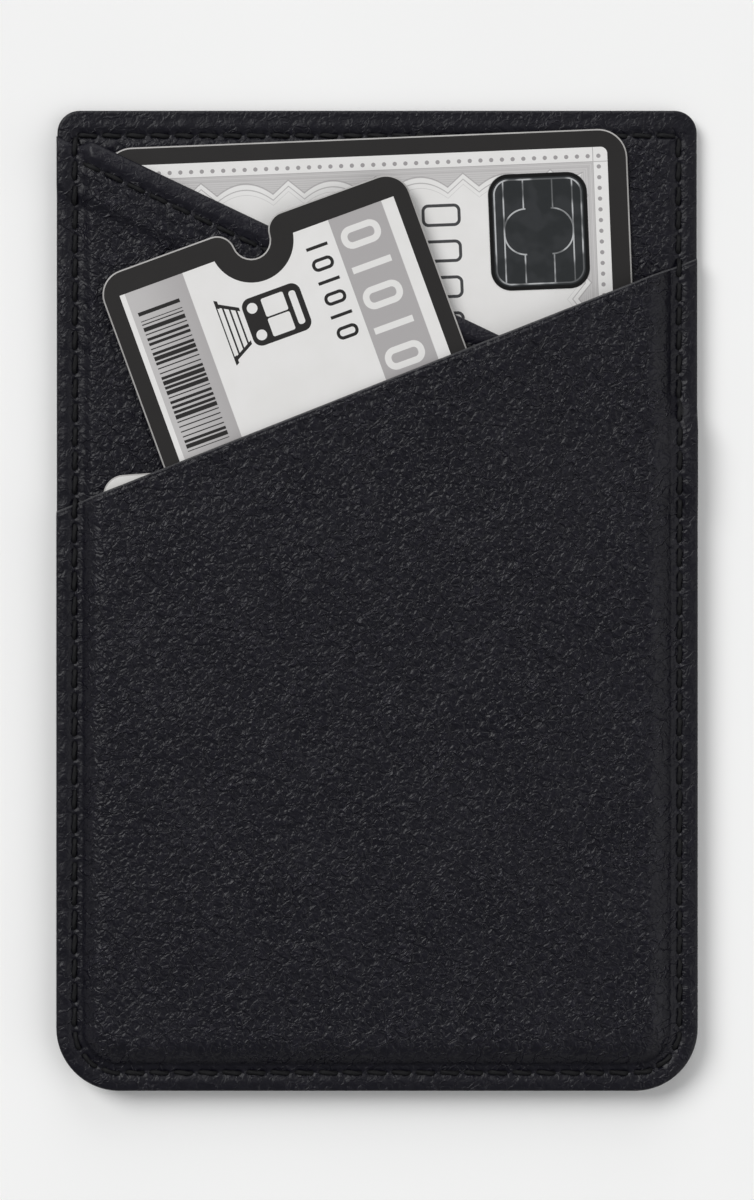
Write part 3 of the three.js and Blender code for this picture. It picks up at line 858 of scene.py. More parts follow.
@dataclass
class PocketPlan:
    """Outline, seam and levels that every ply shares."""

    top_radius: float = 2.3
    bottom_radius: float = 6.5
    least_radius: float = 0.3
    stitch_inset: float = 1.9
    stitch_inset_top: float = 2.6
    stitch_length: float = 2.5
    leather: float = 0.7
    flange: float = 2.75
    hem_turn: float = 5.5
    hem_stitch: float = 2.4
    hem_stitch_start: float = 2.5
    hem_stitch_end: float = 60.0
    hem_lift: float = 0.4
    hem_tip: float = 1.1
    hem_tip_run: float = 2.0
    half_width: float = field(init=False)
    half_height: float = field(init=False)
    back_top: float = field(init=False)
    rear_top: float = field(init=False)
    front_top: float = field(init=False)

    def __post_init__(self) -> None:
        """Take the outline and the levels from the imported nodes."""
        self.half_width, self.half_height, self.back_top = box_mm("back_panel")[1]
        self.rear_top = box_mm("rear_pocket_panel")[1][2] - self.hem_lift
        self.front_top = box_mm("front_pocket_panel")[1][2]

    def inside(self, x: Field, y: Field, inset: float = 0.0, inset_top: float = None) -> Field:
        """Depth inside the outline drawn in by an inset, negative outside it.

        Args:
            x: Places across.
            y: Places along.
            inset: Inset at the sides and the bottom.
            inset_top: Inset at the top, if it differs.

        Returns:
            Depths in millimetres.
        """
        high = self.half_height - (inset if inset_top is None else inset_top)
        low = inset - self.half_height
        middle, half = (high + low) / 2, (high - low) / 2
        upper, lower = (max(radius - inset, self.least_radius)
                        for radius in (self.top_radius, self.bottom_radius))
        radius = np.where(y > middle, upper, lower)
        across = np.abs(x) - (self.half_width - inset) + radius
        along = np.abs(y - middle) - half + radius
        outside = np.hypot(np.maximum(across, 0), np.maximum(along, 0))
        return radius - outside - np.minimum(np.maximum(across, along), 0)

    def edge_y(self, x: Field, side: int) -> Field:
        """Outline's height over each x, at the top (1) or the bottom (-1)."""
        radius = self.top_radius if side > 0 else self.bottom_radius
        over = np.clip(np.abs(x) - (self.half_width - radius), 0, radius)
        return side * (self.half_height - radius + np.sqrt(radius**2 - over**2))

    def mouth_y(self, x: Field, slant: Slant) -> Field:
        """Height of a mouth's straight line over each x."""
        left, right = (self.half_height - drop for drop in slant.value)
        return left + (right - left) * (x + self.half_width) / (2 * self.half_width)

    def fold_y(self, x: Field) -> Field:
        """Height of the rear fold over each x, its end drawn down where the seam crosses it."""
        run_end = self.stitch_inset + self.hem_tip_run
        tip = 1 - smoothstep(x + self.half_width, self.stitch_inset, run_end)
        return self.mouth_y(x, Slant.REAR) - self.hem_tip * tip

    def stretch(self, slant: Slant) -> float:
        """Height difference along y that one millimetre square to a mouth makes."""
        left, right = slant.value
        return math.hypot(1.0, (left - right) / (2 * self.half_width))

    def below(self, x: Field, y: Field, slant: Slant) -> Field:
        """Distance below a mouth's straight line, negative above it."""
        return (self.mouth_y(x, slant) - y) / self.stretch(slant)

    def below_fold(self, x: Field, y: Field) -> Field:
        """Distance below the rear fold, negative above it."""
        return (self.fold_y(x) - y) / self.stretch(Slant.REAR)

    def seam_line(self, x: Field, y: Field) -> Field:
        """Distance from the line of stitches round the edge."""
        return np.abs(self.inside(x, y, self.stitch_inset, self.stitch_inset_top))

    def seam_corners(self, steps: int = 40) -> Field:
        """Points along the sides and the bottom, anticlockwise from the top left.

        Args:
            steps: Points in each of the two corners.

        Returns:
            The points.
        """
        x = self.half_width - self.stitch_inset
        top = self.half_height - self.stitch_inset_top
        bottom = self.half_height - self.stitch_inset
        radius = self.bottom_radius - self.stitch_inset
        turn = np.linspace(0, math.pi / 2, steps)
        left = np.stack([radius * (1 - np.cos(turn)) - x, radius * (1 - np.sin(turn)) - bottom], 1)
        right = left[::-1] * (-1, 1)
        return np.concatenate([[(-x, top)], left, right, [(x, top)]])

    def seam_points(self, per_stitch: int) -> Field:
        """Points along the seam's two runs, of which the first in each stitch is its hole."""
        around = self.seam_corners()
        return np.concatenate([resample(run, self.stitch_length, per_stitch)[:-1]
                               for run in (around[[-1, 0]], around)])

    def hem_points(self, per_stitch: int) -> Field:
        """Points along the hem's stitches, of which the first in each stitch is its hole."""
        ends = np.array([self.hem_stitch_start, self.hem_stitch_end]) - self.half_width
        heights = self.mouth_y(ends, Slant.REAR) - self.hem_stitch * self.stretch(Slant.REAR)
        return resample(np.stack([ends, heights], 1), self.stitch_length, per_stitch)


def resample(points: Field, pitch: float, per_pitch: int) -> Field:
    """Evenly spaced points along a line, a whole number of pitches long.

    Args:
        points: The line's points.
        pitch: Wanted pitch.
        per_pitch: Points in each pitch.

    Returns:
        The new points, both ends included.
    """
    steps = np.hypot(*np.diff(points, axis=0).T)
    length = np.concatenate([[0], np.cumsum(steps)])
    count = round(length[-1] / pitch) * per_pitch
    places = np.linspace(0, length[-1], count + 1)
    return np.stack([np.interp(places, length, points[:, axis]) for axis in range(2)], 1)


def nearest(x: Field, y: Field, points: Field) -> Field:
    """Distance from each place to the nearest of some points.

    Args:
        x: Places across.
        y: Places along.
        points: The points.

    Returns:
        Distances, in the shape of x.
    """
    best = np.full(x.shape, np.inf)
    for across, along in points:
        best = np.minimum(best, np.hypot(x - across, y - along))
    return best


class Waves:
    """Slow unevenness of a leather ply, as a few crossing waves."""

    shortest: float = 0.25
    swell: float = 1.6

    def __init__(self, seed: int, longest: float = 26.0, count: int = 9) -> None:
        """Draw the waves.

        Args:
            seed: Seed of the draw.
            longest: Longest wave in millimetres.
            count: Number of waves.
        """
        random = np.random.default_rng(seed)
        self.lengths = longest * random.uniform(self.shortest, 1.0, count)
        self.headings = random.uniform(0, math.pi, count)
        self.phases = random.uniform(0, 2 * math.pi, count)

    def height(self, x: Field, y: Field) -> Field:
        """Height of the waves, about -1 to 1."""
        total = np.zeros_like(x)
        for length, heading, phase in zip(self.lengths, self.headings, self.phases):
            run = x * math.cos(heading) + y * math.sin(heading)
            total += np.sin(run * 2 * math.pi / length + phase) * length
        return total / self.lengths.sum() * self.swell


@dataclass
class Relief:
    """How a sewn ply is drawn down under each stitch and swells between and beside them."""

    plan: PocketPlan
    channel: float = 0.13
    channel_width: float = 0.42
    pit: float = 0.26
    pit_width: float = 0.24
    pit_place: float = 0.44
    bridge: float = 0.13
    bridge_length: float = 0.28
    pillow: float = 0.12
    pillow_place: float = 0.95
    pillow_width: float = 0.5
    pillow_least: float = 0.4
    pillow_run: Pair = (0.15, 1.0)
    edge_round: float = 0.34
    edge_share: float = 0.8
    edge_break: float = 0.10
    puff: float = 0.16
    puff_place: float = 1.15
    puff_width: float = 0.6
    hem_ends: Pair = (2.0, 3.4)

    def __post_init__(self) -> None:
        """Place the needle holes of the seam and of the hem."""
        self.holes = self.plan.seam_points(1)
        self.hem_holes = self.plan.hem_points(1)

    def row(self, line: Field, near: Field) -> Field:
        """Height change round a row of stitches.

        Args:
            line: Distance from the row.
            near: Distance from the nearest needle hole of the row.

        Returns:
            The height change.
        """
        along = np.sqrt(np.maximum(near**2 - line**2, 0))
        channel = -self.channel * bell(line, self.channel_width)
        pit = -self.pit * bell(line, self.pit_width) * bell(along - self.pit_place, self.pit_width)
        bridge = self.bridge * bell(line, self.channel_width) * bell(along, self.bridge_length)
        fullness = self.pillow_least + (1 - self.pillow_least) * smoothstep(along, *self.pillow_run)
        swell = self.pillow * bell(line - self.pillow_place, self.pillow_width) * fullness
        return channel + pit + bridge + swell

    def seam(self, x: Field, y: Field) -> Field:
        """Height change along the seam and out to the rounded edge."""
        row = self.row(self.plan.seam_line(x, y), nearest(x, y, self.holes))
        return row - self.edge_share * self.edge(x, y, self.edge_round)

    def edge(self, x: Field, y: Field, radius: float) -> Field:
        """Drop of an edge that is rounded to a radius."""
        corner = np.clip(1 - self.plan.inside(x, y) / radius, 0, 1)
        return radius * (1 - np.sqrt(1 - corner**2))

    def shown(self, x: Field, y: Field, share: Field) -> Field:
        """Height change of a ply that shows where the share is 1, and is covered where it is 0."""
        return self.seam(x, y) * share - self.edge(x, y, self.edge_break) * (1 - share)

    def hem(self, x: Field, y: Field) -> Field:
        """Height change along the hem's stitches."""
        plan = self.plan
        distance = plan.below(x, y, Slant.REAR)
        inside = smoothstep(plan.inside(x, y), *self.hem_ends)
        row = self.row(np.abs(distance - plan.hem_stitch), nearest(x, y, self.hem_holes))
        return (row + self.puff * bell(distance - self.puff_place, self.puff_width)) * inside


@dataclass
class Ply:
    """A formed leather ply: a closed mesh on a grid that is finest along its seams."""

    plan: PocketPlan
    name: str
    across: float
    seam_zone: float = 4.2
    seam_steps: int = 30
    seam_ease: float = 1.4
    coarse: int = 4
    sharp: float = 50.0

    def eased(self) -> Field:
        """Distances in from an edge, closest together right at it."""
        return self.seam_zone * np.linspace(0, 1, self.seam_steps + 1) ** self.seam_ease

    def columns(self) -> Field:
        """Places of the columns across."""
        edge = self.eased() - self.plan.half_width
        count = round(-2 * edge[-1] / self.across)
        inner = np.linspace(edge[-1], -edge[-1], count + 1)[1:-1]
        return np.concatenate([edge, inner, -edge[::-1]])

    def grid(self, top_y: Callable[[Field], Field], top_rows: Field,
             middle_rows: int) -> tuple[Field, Field]:
        """Grid of places between the bottom edge and a top line.

        Args:
            top_y: Height of the top line over each x.
            top_rows: Drops of the uppermost rows below the top line, largest first.
            middle_rows: Number of even rows between those and the bottom seam.

        Returns:
            The places across and along, by row and column.
        """
        x = self.columns()
        bottom = self.plan.edge_y(x, -1) + self.eased()[:, None]
        top = top_y(x) - top_rows[:, None]
        share = np.linspace(0, 1, middle_rows + 2)[1:-1, None]
        middle = bottom[-1] + (top[0] - bottom[-1]) * share
        along = np.concatenate([bottom, middle, top])
        return np.broadcast_to(x, along.shape), along

    def hidden_faces(self, rows: int, columns: int) -> list[list[int]]:
        """Large faces for the side that lies hidden, which still meet every point of its rim.

        Args:
            rows: Rows of the grid.
            columns: Columns of the grid.

        Returns:
            Faces by grid point.
        """
        index = np.arange(rows * columns).reshape(rows, columns)
        cuts = [sorted({*range(0, count - 1, self.coarse), count - 1}) for count in (rows, columns)]
        faces = []
        for low, high in zip(cuts[0], cuts[0][1:]):
            for left, right in zip(cuts[1], cuts[1][1:]):
                sides = [index[low, left:right] if low == 0 else index[low, [left]],
                         index[low:high, right] if right == columns - 1 else index[[low], right],
                         index[high, right:left:-1] if high == rows - 1 else index[high, [right]],
                         index[high:low:-1, left] if left == 0 else index[[high], left]]
                faces.append(np.concatenate(sides).tolist())
        return faces

    def mesh(self, x: Field, y: Field, shown: Field, hidden: Field,
             finishes: Sequence[Material], lip_rows: int = 0) -> bpy.types.Object:
        """Closed mesh between two height fields.

        Args:
            x: Places across.
            y: Places along.
            shown: Heights of the face that shows.
            hidden: Heights of the face that lies hidden, above or below it.
            finishes: Finish of the faces, then of the cut edges.
            lip_rows: Rows at the mouth that take the cut edge's finish.

        Returns:
            The object.
        """
        rows, columns = x.shape
        index = np.arange(rows * columns).reshape(rows, columns)
        quads = np.stack([index[:-1, :-1], index[:-1, 1:], index[1:, 1:], index[1:, :-1]], -1)
        face = quads.reshape(-1, 4)
        far = self.hidden_faces(rows, columns)
        used = sorted({corner for corners in far for corner in corners})
        number = {point: rows * columns + order for order, point in enumerate(used)}
        far = [[number[corner] for corner in corners] for corners in far]
        loop = np.concatenate([index[0, :-1], index[:-1, -1], index[-1, :0:-1], index[:0:-1, 0]])
        walls = [[here, number[here], number[after], after]
                 for here, after in zip(loop.tolist(), np.roll(loop, -1).tolist())]
        faces = [*face.tolist(), *[corners[::-1] for corners in far], *walls]
        if shown.mean() < hidden.mean():
            faces = [corners[::-1] for corners in faces]
        cut = np.zeros(len(faces), int)
        cut[len(face) + len(far):] = 1
        if lip_rows:
            cut[:len(face)].reshape(rows - 1, columns - 1)[-lip_rows:] = 1
        near = np.stack([x, y, shown], -1).reshape(-1, 3)
        back = np.stack([x, y, hidden], -1).reshape(-1, 3)[used]
        return make_object(self.name, np.concatenate([near, back]), faces, finishes, cut, self.sharp)


def make_object(name: str, points: Field, faces: Iterable, finishes: Sequence[Material],
                slots: Iterable[int] = None, sharp: float = 40.0) -> bpy.types.Object:
    """Mesh object from points in millimetres.

    Args:
        name: The object's name.
        points: Points in millimetres.
        faces: Corner numbers of each face.
        finishes: Materials.
        slots: Material number of each face.
        sharp: Angle in degrees past which an edge is shaded sharp.

    Returns:
        The object, linked to the scene.
    """
    mesh = bpy.data.meshes.new(name)
    corners = [list(map(int, face)) for face in faces]
    mesh.from_pydata((np.asarray(points, float) * MM).tolist(), [], corners)
    for finish in finishes:
        mesh.materials.append(finish)
    if slots is not None:
        mesh.polygons.foreach_set("material_index", np.asarray(list(slots), np.int32))
    mesh.polygons.foreach_set("use_smooth", np.ones(len(mesh.polygons), bool))
    mesh.set_sharp_from_angle(angle=math.radians(sharp))
    mesh.update()
    made = bpy.data.objects.new(name, mesh)
    bpy.context.scene.collection.objects.link(made)
    return made


def settle(piece: bpy.types.Object, slot: str, *nodes: str) -> None:
    """Ride a piece on the body, hide the nodes that it stands for, and report it.

    Args:
        piece: The piece.
        slot: Not used.
        nodes: Nodes that it replaces.
    """
    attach(piece, "root")
    if nodes:
        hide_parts(*nodes)
    LOG.info("%s: %d faces", piece.name, len(piece.data.polygons))


@dataclass
class LeatherBody:
    """The four plies that make the pocket.

    The front mouth's lip has its heights at its places below the mouth's line, and each of its
    creases has a height, a place and a width. Rows are counted on a ply's fine and coarse stretch.
    """

    plan: PocketPlan
    relief: Relief
    finishes: Sequence[Material]
    rear_finishes: Sequence[Material]
    fold_drops: Sizes = (0.55, 0.45, 0.36, 0.28, 0.21, 0.15, 0.10, 0.06, 0.03, 0.01, 0.0)
    lip_drops: Sizes = (0.86, 0.7, 0.58, 0.5, 0.42, 0.34, 0.28, 0.22, 0.16, 0.1, 0.05, 0.0,
                        -0.07, -0.13)
    lip_places: Sizes = (-0.13, -0.07, 0.0, 0.05, 0.12, 0.22)
    lip_heights: Sizes = (-0.62, -0.34, -0.15, -0.07, -0.02, 0.0)
    lip_creases: Sequence[Sizes] = ((0.045, 0.52, 0.17), (-0.05, 0.25, 0.1))
    lip_rows: int = 3
    hem_run_out: float = 1.6
    hem_taper: float = 0.3
    rear_rise: Pair = (-0.1, 1.05)
    rear_shown: Pair = (0.6, -0.3)
    rear_fade: Pair = (0.0, 0.7)
    back_shown: Pair = (0.5, -0.2)
    rear_seed: int = 5
    rear_wave: float = 0.05
    rear_calm: Pair = (2.5, 6.0)
    front_seed: int = 11
    front_wave: float = 0.09
    front_calm: Pair = (2.5, 8.0)
    crown: float = 0.10
    crown_run: Pair = (3.0, 22.0)
    drape: float = 2.4
    drape_end: float = 0.1
    drape_run_out: float = 3.4
    climb_width: float = 2.7
    climb_power: float = 2.3
    least_thickness: float = 0.002
    back_step: float = 0.3
    back_fine: float = 22.0
    row_gap: float = 0.2
    back_rows: tuple[int, int] = (70, 40)
    backing_rows: int = 130
    pocket_step: float = 0.28
    rear_fine: Pair = (42.0, 0.75)
    rear_rows: tuple[int, int] = (172, 20)
    front_rows: int = 235

    def hem_rise(self, distance: Field, run_out: float) -> Field:
        """How far the turned hem lifts a ply, by distance below its mouth."""
        end = self.plan.hem_turn - self.hem_taper
        return self.plan.hem_lift * (1 - smoothstep(distance, end, end + run_out))

    def rear_seat(self, x: Field, y: Field) -> Field:
        """Top of the rear ply, smooth, before its relief."""
        plan = self.plan
        rise = smoothstep(plan.inside(x, y) - plan.flange, *self.rear_rise)
        flat = plan.back_top + plan.leather
        lift = self.hem_rise(plan.below(x, y, Slant.REAR), self.hem_run_out)
        return flat + (plan.rear_top - flat) * rise + lift

    def fold_drop(self, x: Field, y: Field) -> Field:
        """How far the rounded nose of the fold lies below the hem's top."""
        nose = (self.plan.leather + self.plan.hem_lift) / 2
        inner = np.clip(1 - self.plan.below_fold(x, y) / nose, 0, 1)
        return nose * (1 - np.sqrt(1 - inner**2))

    def rear_height(self, x: Field, y: Field) -> Field:
        """Top of the finished rear ply."""
        plan = self.plan
        shown = smoothstep(plan.below(x, y, Slant.FRONT), *self.rear_shown)
        fade = smoothstep(plan.below_fold(x, y), *self.rear_fade)
        waves = Waves(self.rear_seed).height(x, y) * self.rear_wave
        waves = waves * smoothstep(plan.inside(x, y), *self.rear_calm)
        relief = self.relief.shown(x, y, shown) + (self.relief.hem(x, y) + waves) * shown
        return self.rear_seat(x, y) - self.fold_drop(x, y) + relief * fade

    def front_seat(self, x: Field, y: Field) -> Field:
        """Top of the front ply, smooth, before its relief."""
        plan = self.plan
        distance = plan.below(x, y, Slant.REAR)
        over = smoothstep(distance, -self.drape, self.drape_end)
        lift = plan.leather + self.hem_rise(distance, self.drape_run_out)
        flange = plan.back_top + lift * over + plan.leather
        climb = np.clip((plan.inside(x, y) - plan.flange) / self.climb_width, 0, 1)
        return flange + (plan.front_top - flange) * (1 - (1 - climb) ** self.climb_power)

    def front_height(self, x: Field, y: Field) -> Field:
        """Top of the finished front ply."""
        distance = self.plan.below(x, y, Slant.FRONT)
        lip = np.interp(distance, self.lip_places, self.lip_heights)
        for rise, place, width in self.lip_creases:
            lip += rise * bell(distance - place, width)
        depth = self.plan.inside(x, y)
        waves = Waves(self.front_seed).height(x, y) * self.front_wave
        waves = waves * smoothstep(depth, *self.front_calm)
        crown = self.crown * smoothstep(depth, *self.crown_run)
        return self.front_seat(x, y) + self.relief.seam(x, y) + waves + crown + lip

    def back_height(self, x: Field, y: Field) -> Field:
        """Top of the finished back ply."""
        plan = self.plan
        cover = np.maximum(plan.below_fold(x, y), plan.below(x, y, Slant.FRONT))
        return plan.back_top + self.relief.shown(x, y, smoothstep(cover, *self.back_shown))

    def build_back(self) -> None:
        """Make the back ply and the inner ply under it."""
        plan = self.plan
        ply = Ply(plan, "back_panel_leather", self.back_step)
        seam_rows = ply.eased()[::-1]
        fine, coarse = self.back_rows
        shown = np.linspace(self.back_fine, seam_rows[0] + self.row_gap, fine)
        x, y = ply.grid(lambda at: plan.edge_y(at, 1), np.concatenate([shown, seam_rows]), coarse)
        low = np.full(x.shape, box_mm("back_panel")[0][2])
        settle(ply.mesh(x, y, self.back_height(x, y), low, self.finishes),
               "black_leather", "back_panel")
        backing = Ply(plan, "inner_ply_leather", self.back_step)
        x, y = backing.grid(lambda at: plan.edge_y(at, 1), seam_rows, self.backing_rows)
        low, high = box_mm("backing_ply")
        under = low[2] - self.relief.seam(x, y)
        made = backing.mesh(x, y, under, np.full(x.shape, high[2]), self.finishes)
        settle(made, "black_leather", "backing_ply")

    def build_rear(self) -> None:
        """Make the rear pocket with its turned hem."""
        plan = self.plan
        ply = Ply(plan, "rear_pocket_leather", self.pocket_step)
        fine, coarse = self.rear_rows
        upper = np.concatenate([np.linspace(*self.rear_fine, fine), self.fold_drops])
        x, y = ply.grid(plan.fold_y, upper, coarse)
        top = self.rear_height(x, y)
        turned = np.where(plan.below(x, y, Slant.REAR) < plan.hem_turn, plan.hem_lift, 0.0)
        bottom = self.rear_seat(x, y) - plan.leather - turned
        bottom = np.where(plan.inside(x, y) < plan.flange, plan.back_top, bottom)
        bottom = np.minimum(bottom + self.fold_drop(x, y), top - self.least_thickness)
        settle(ply.mesh(x, y, top, bottom, self.rear_finishes),
               "black_leather", "rear_pocket_panel")

    def build_front(self) -> None:
        """Make the front pocket with its cut mouth."""
        plan = self.plan
        ply = Ply(plan, "front_pocket_leather", self.pocket_step)
        drops = np.array(self.lip_drops) * plan.stretch(Slant.FRONT)
        x, y = ply.grid(lambda at: plan.mouth_y(at, Slant.FRONT), drops, self.front_rows)
        bottom = self.front_seat(x, y) - plan.leather
        settle(ply.mesh(x, y, self.front_height(x, y), bottom, self.finishes, self.lip_rows),
               "black_leather", "front_pocket_panel")


@dataclass
class Stitching:
    """Twisted thread that dives into the leather at each end of a stitch."""

    plan: PocketPlan
    body: LeatherBody
    finish: Material
    thread: float = 0.42
    width_share: float = 1.08
    height_share: float = 0.92
    sides: int = 12
    per_stitch: int = 14
    plies: int = 3
    ply_bulge: float = 0.13
    lay: float = 4.5
    sunk: float = 0.06
    dive: float = 0.50
    dive_run: Pair = (0.16, 0.74)
    arch: float = 0.05
    sway_by: float = 0.05
    held_points: int = 3
    eased_points: int = 2
    sharp: float = 80.0

    def tube(self, name: str, points: Field, heights: Field, is_loop: bool) -> bpy.types.Object:
        """Twisted tube along a line.

        Args:
            name: The object's name.
            points: Points across and along.
            heights: Height of each point.
            is_loop: True if the line closes on itself.

        Returns:
            The object.
        """
        line = np.column_stack([points, heights])
        if is_loop:
            ahead, behind = np.roll(line, -1, 0), np.roll(line, 1, 0)
        else:
            ahead, behind = np.vstack([line[1:], line[-1:]]), np.vstack([line[:1], line[:-1]])
        along = ahead - behind
        run = np.cumsum(np.linalg.norm(along, axis=1)) / 2
        along /= np.linalg.norm(along, axis=1)[:, None]
        side = np.cross(np.array([0, 0, 1.0]), along)
        side /= np.linalg.norm(side, axis=1)[:, None]
        up = np.cross(along, side)
        if is_loop:
            run *= round(run[-1] / self.lay) * self.lay / run[-1]
        angle = np.arange(self.sides) * 2 * math.pi / self.sides
        turn = angle[None, :] - run[:, None] * 2 * math.pi / self.lay
        radius = self.thread / 2 * (1 + self.ply_bulge * np.cos(self.plies * turn))[..., None]
        across = np.cos(angle)[None, :, None] * side[:, None, :] * self.width_share
        rise = np.sin(angle)[None, :, None] * up[:, None, :] * self.height_share
        ring = line[:, None, :] + radius * (across + rise)
        index = np.arange(ring.shape[0] * self.sides).reshape(-1, self.sides)
        near, far = (index, np.roll(index, -1, 0)) if is_loop else (index[:-1], index[1:])
        quads = np.stack([near, np.roll(near, -1, 1), np.roll(far, -1, 1), far], -1)
        faces = quads.reshape(-1, 4).tolist()
        if not is_loop:
            faces += [index[0].tolist()[::-1], index[-1].tolist()]
        return make_object(name, ring.reshape(-1, 3), faces, [self.finish], None, self.sharp)

    def phase(self, count: int) -> Field:
        """How far along its stitch each of a number of points lies, from 0 to 1."""
        return (np.arange(count) % self.per_stitch) / self.per_stitch

    def bow(self, count: int) -> Field:
        """Height of the thread over the leather: under it at each hole, in its channel between.

        Args:
            count: Number of points along the thread.

        Returns:
            Heights over the leather.
        """
        phase = self.phase(count)
        along = np.minimum(phase, 1 - phase) * self.plan.stitch_length
        arch = self.arch * (1 - (2 * phase - 1) ** 2)
        return arch - self.dive + (self.dive - self.sunk) * smoothstep(along, *self.dive_run)

    def sway(self, points: Field) -> Field:
        """Points moved a little to alternate sides, as a lockstitch lies."""
        ahead = np.roll(points, -1, 0) - np.roll(points, 1, 0)
        ahead /= np.hypot(*ahead.T)[:, None]
        by = self.sway_by * np.sin(2 * math.pi * self.phase(len(points)))
        return points + np.stack([-ahead[:, 1], ahead[:, 0]], 1) * by[:, None]

    def seam_level(self, points: Field) -> Field:
        """Height of whichever ply lies on top along the seam, held up past each step."""
        plan, body = self.plan, self.body
        x, y = points.T
        level = np.where(plan.below_fold(x, y) > 0, body.rear_seat(x, y), plan.back_top)
        level = np.where(plan.below(x, y, Slant.FRONT) > 0, body.front_seat(x, y), level)
        hold, ease = (range(-count, count + 1) for count in (self.held_points, self.eased_points))
        held = np.max([np.roll(level, shift) for shift in hold], axis=0)
        eased = sum(np.roll(held, shift) for shift in ease) / len(ease)
        return np.maximum(eased, level)

    def build_seam(self) -> None:
        """Make the thread round the edge and the one underneath."""
        straight = self.plan.seam_points(self.per_stitch)
        points = self.sway(straight)
        bow = self.bow(len(points))
        level = self.seam_level(straight)
        settle(self.tube("seam_thread", points, level + bow, True),
               "black_thread", "perimeter_stitching")
        under = box_mm("backing_ply")[0][2] - bow
        settle(self.tube("underside_thread", points, under, True),
               "black_thread", "perimeter_underthread")

    def build_hem(self) -> None:
        """Make the thread along the hem."""
        points = self.plan.hem_points(self.per_stitch)
        level = self.body.rear_seat(*points.T)
        settle(self.tube("hem_thread", points, level + self.bow(len(points)), False),
               "black_thread", "hem_stitching")


CORNER_STEPS = 12
CARD_CORE = PaperFinish("card_core", (0.40, 0.39, 0.38), (0.30, 0.29, 0.28))


def arc(x: float, y: float, radius: float, start: float, end: float,
        steps: int = CORNER_STEPS) -> Field:
    """Points of an arc round a centre, between two angles in radians."""
    turn = np.linspace(start, end, steps)
    return np.stack([x + radius * np.cos(turn), y + radius * np.sin(turn)], 1)


def rounded_outline(width: float, height: float, radius: float) -> Field:
    """Anticlockwise outline of a rounded rectangle with its top left corner at 0.

    Args:
        width: Width.
        height: Height, downwards.
        radius: Corner radius.

    Returns:
        The outline's points, from the lower right corner.
    """
    centres = [(width - radius, radius - height), (width - radius, -radius),
               (radius, -radius), (radius, radius - height)]
    quarter = math.pi / 2
    return np.concatenate([arc(x, y, radius, quarter * (order - 1), quarter * order)
                           for order, (x, y) in enumerate(centres)])


@dataclass(frozen=True)
class Notch:
    """Thumb notch in a card's top edge: a round bottom between two rounded lips."""

    along: float = 16.4
    depth: float = 3.6
    radius: float = 1.9
    lip: float = 1.9
    steps: int = 14

    def points(self) -> Field:
        """Outline of the notch, from right to left."""
        slant = math.acos(1 - self.depth / (self.radius + self.lip))
        reach = (self.radius + self.lip) * math.sin(slant)
        up = math.pi / 2
        arcs = [(self.along + reach, -self.lip, self.lip, up, up + slant),
                (self.along, self.radius - self.depth, self.radius, slant - up, -up - slant),
                (self.along - reach, -self.lip, self.lip, up - slant, up)]
        return np.concatenate([arc(*shape, self.steps) for shape in arcs])


@dataclass
class Card:
    """A flat card with a small chamfer that shows its pale core at the edge."""

    name: str
    outline: Field
    thickness: float
    face: Material
    core: Material
    chamfer: float = 0.15
    chamfer_slope: float = 0.45
    sharp: float = 20.0

    def inset(self) -> Field:
        """The outline drawn in by the chamfer."""
        points = self.outline
        ahead = np.roll(points, -1, 0) - points
        ahead /= np.maximum(np.hypot(*ahead.T), 1e-9)[:, None]
        behind = np.roll(ahead, 1, 0)
        normal = np.stack([-(ahead + behind)[:, 1], (ahead + behind)[:, 0]], 1)
        normal /= np.hypot(*normal.T)[:, None]
        return points + normal * self.chamfer

    def build(self, place: Matrix) -> bpy.types.Object:
        """Make the card.

        Args:
            place: Where its own frame lies, in metres.

        Returns:
            The object.
        """
        count = len(self.outline)
        shoulder = self.thickness - self.chamfer * self.chamfer_slope
        rings = [(self.outline, 0.0), (self.outline, shoulder), (self.inset(), self.thickness)]
        points = np.concatenate([np.column_stack([ring, np.full(count, z)]) for ring, z in rings])
        faces, slots = [list(range(count))[::-1]], [0]
        for ring in range(2):
            for corner in range(count):
                after = (corner + 1) % count
                low, high = ring * count, (ring + 1) * count
                faces.append([low + corner, low + after, high + after, high + corner])
                slots.append(1)
        faces.append([2 * count + corner for corner in range(count)])
        slots.append(0)
        made = make_object(self.name, points, faces, [self.face, self.core], slots, self.sharp)
        made.matrix_world = place
        return made


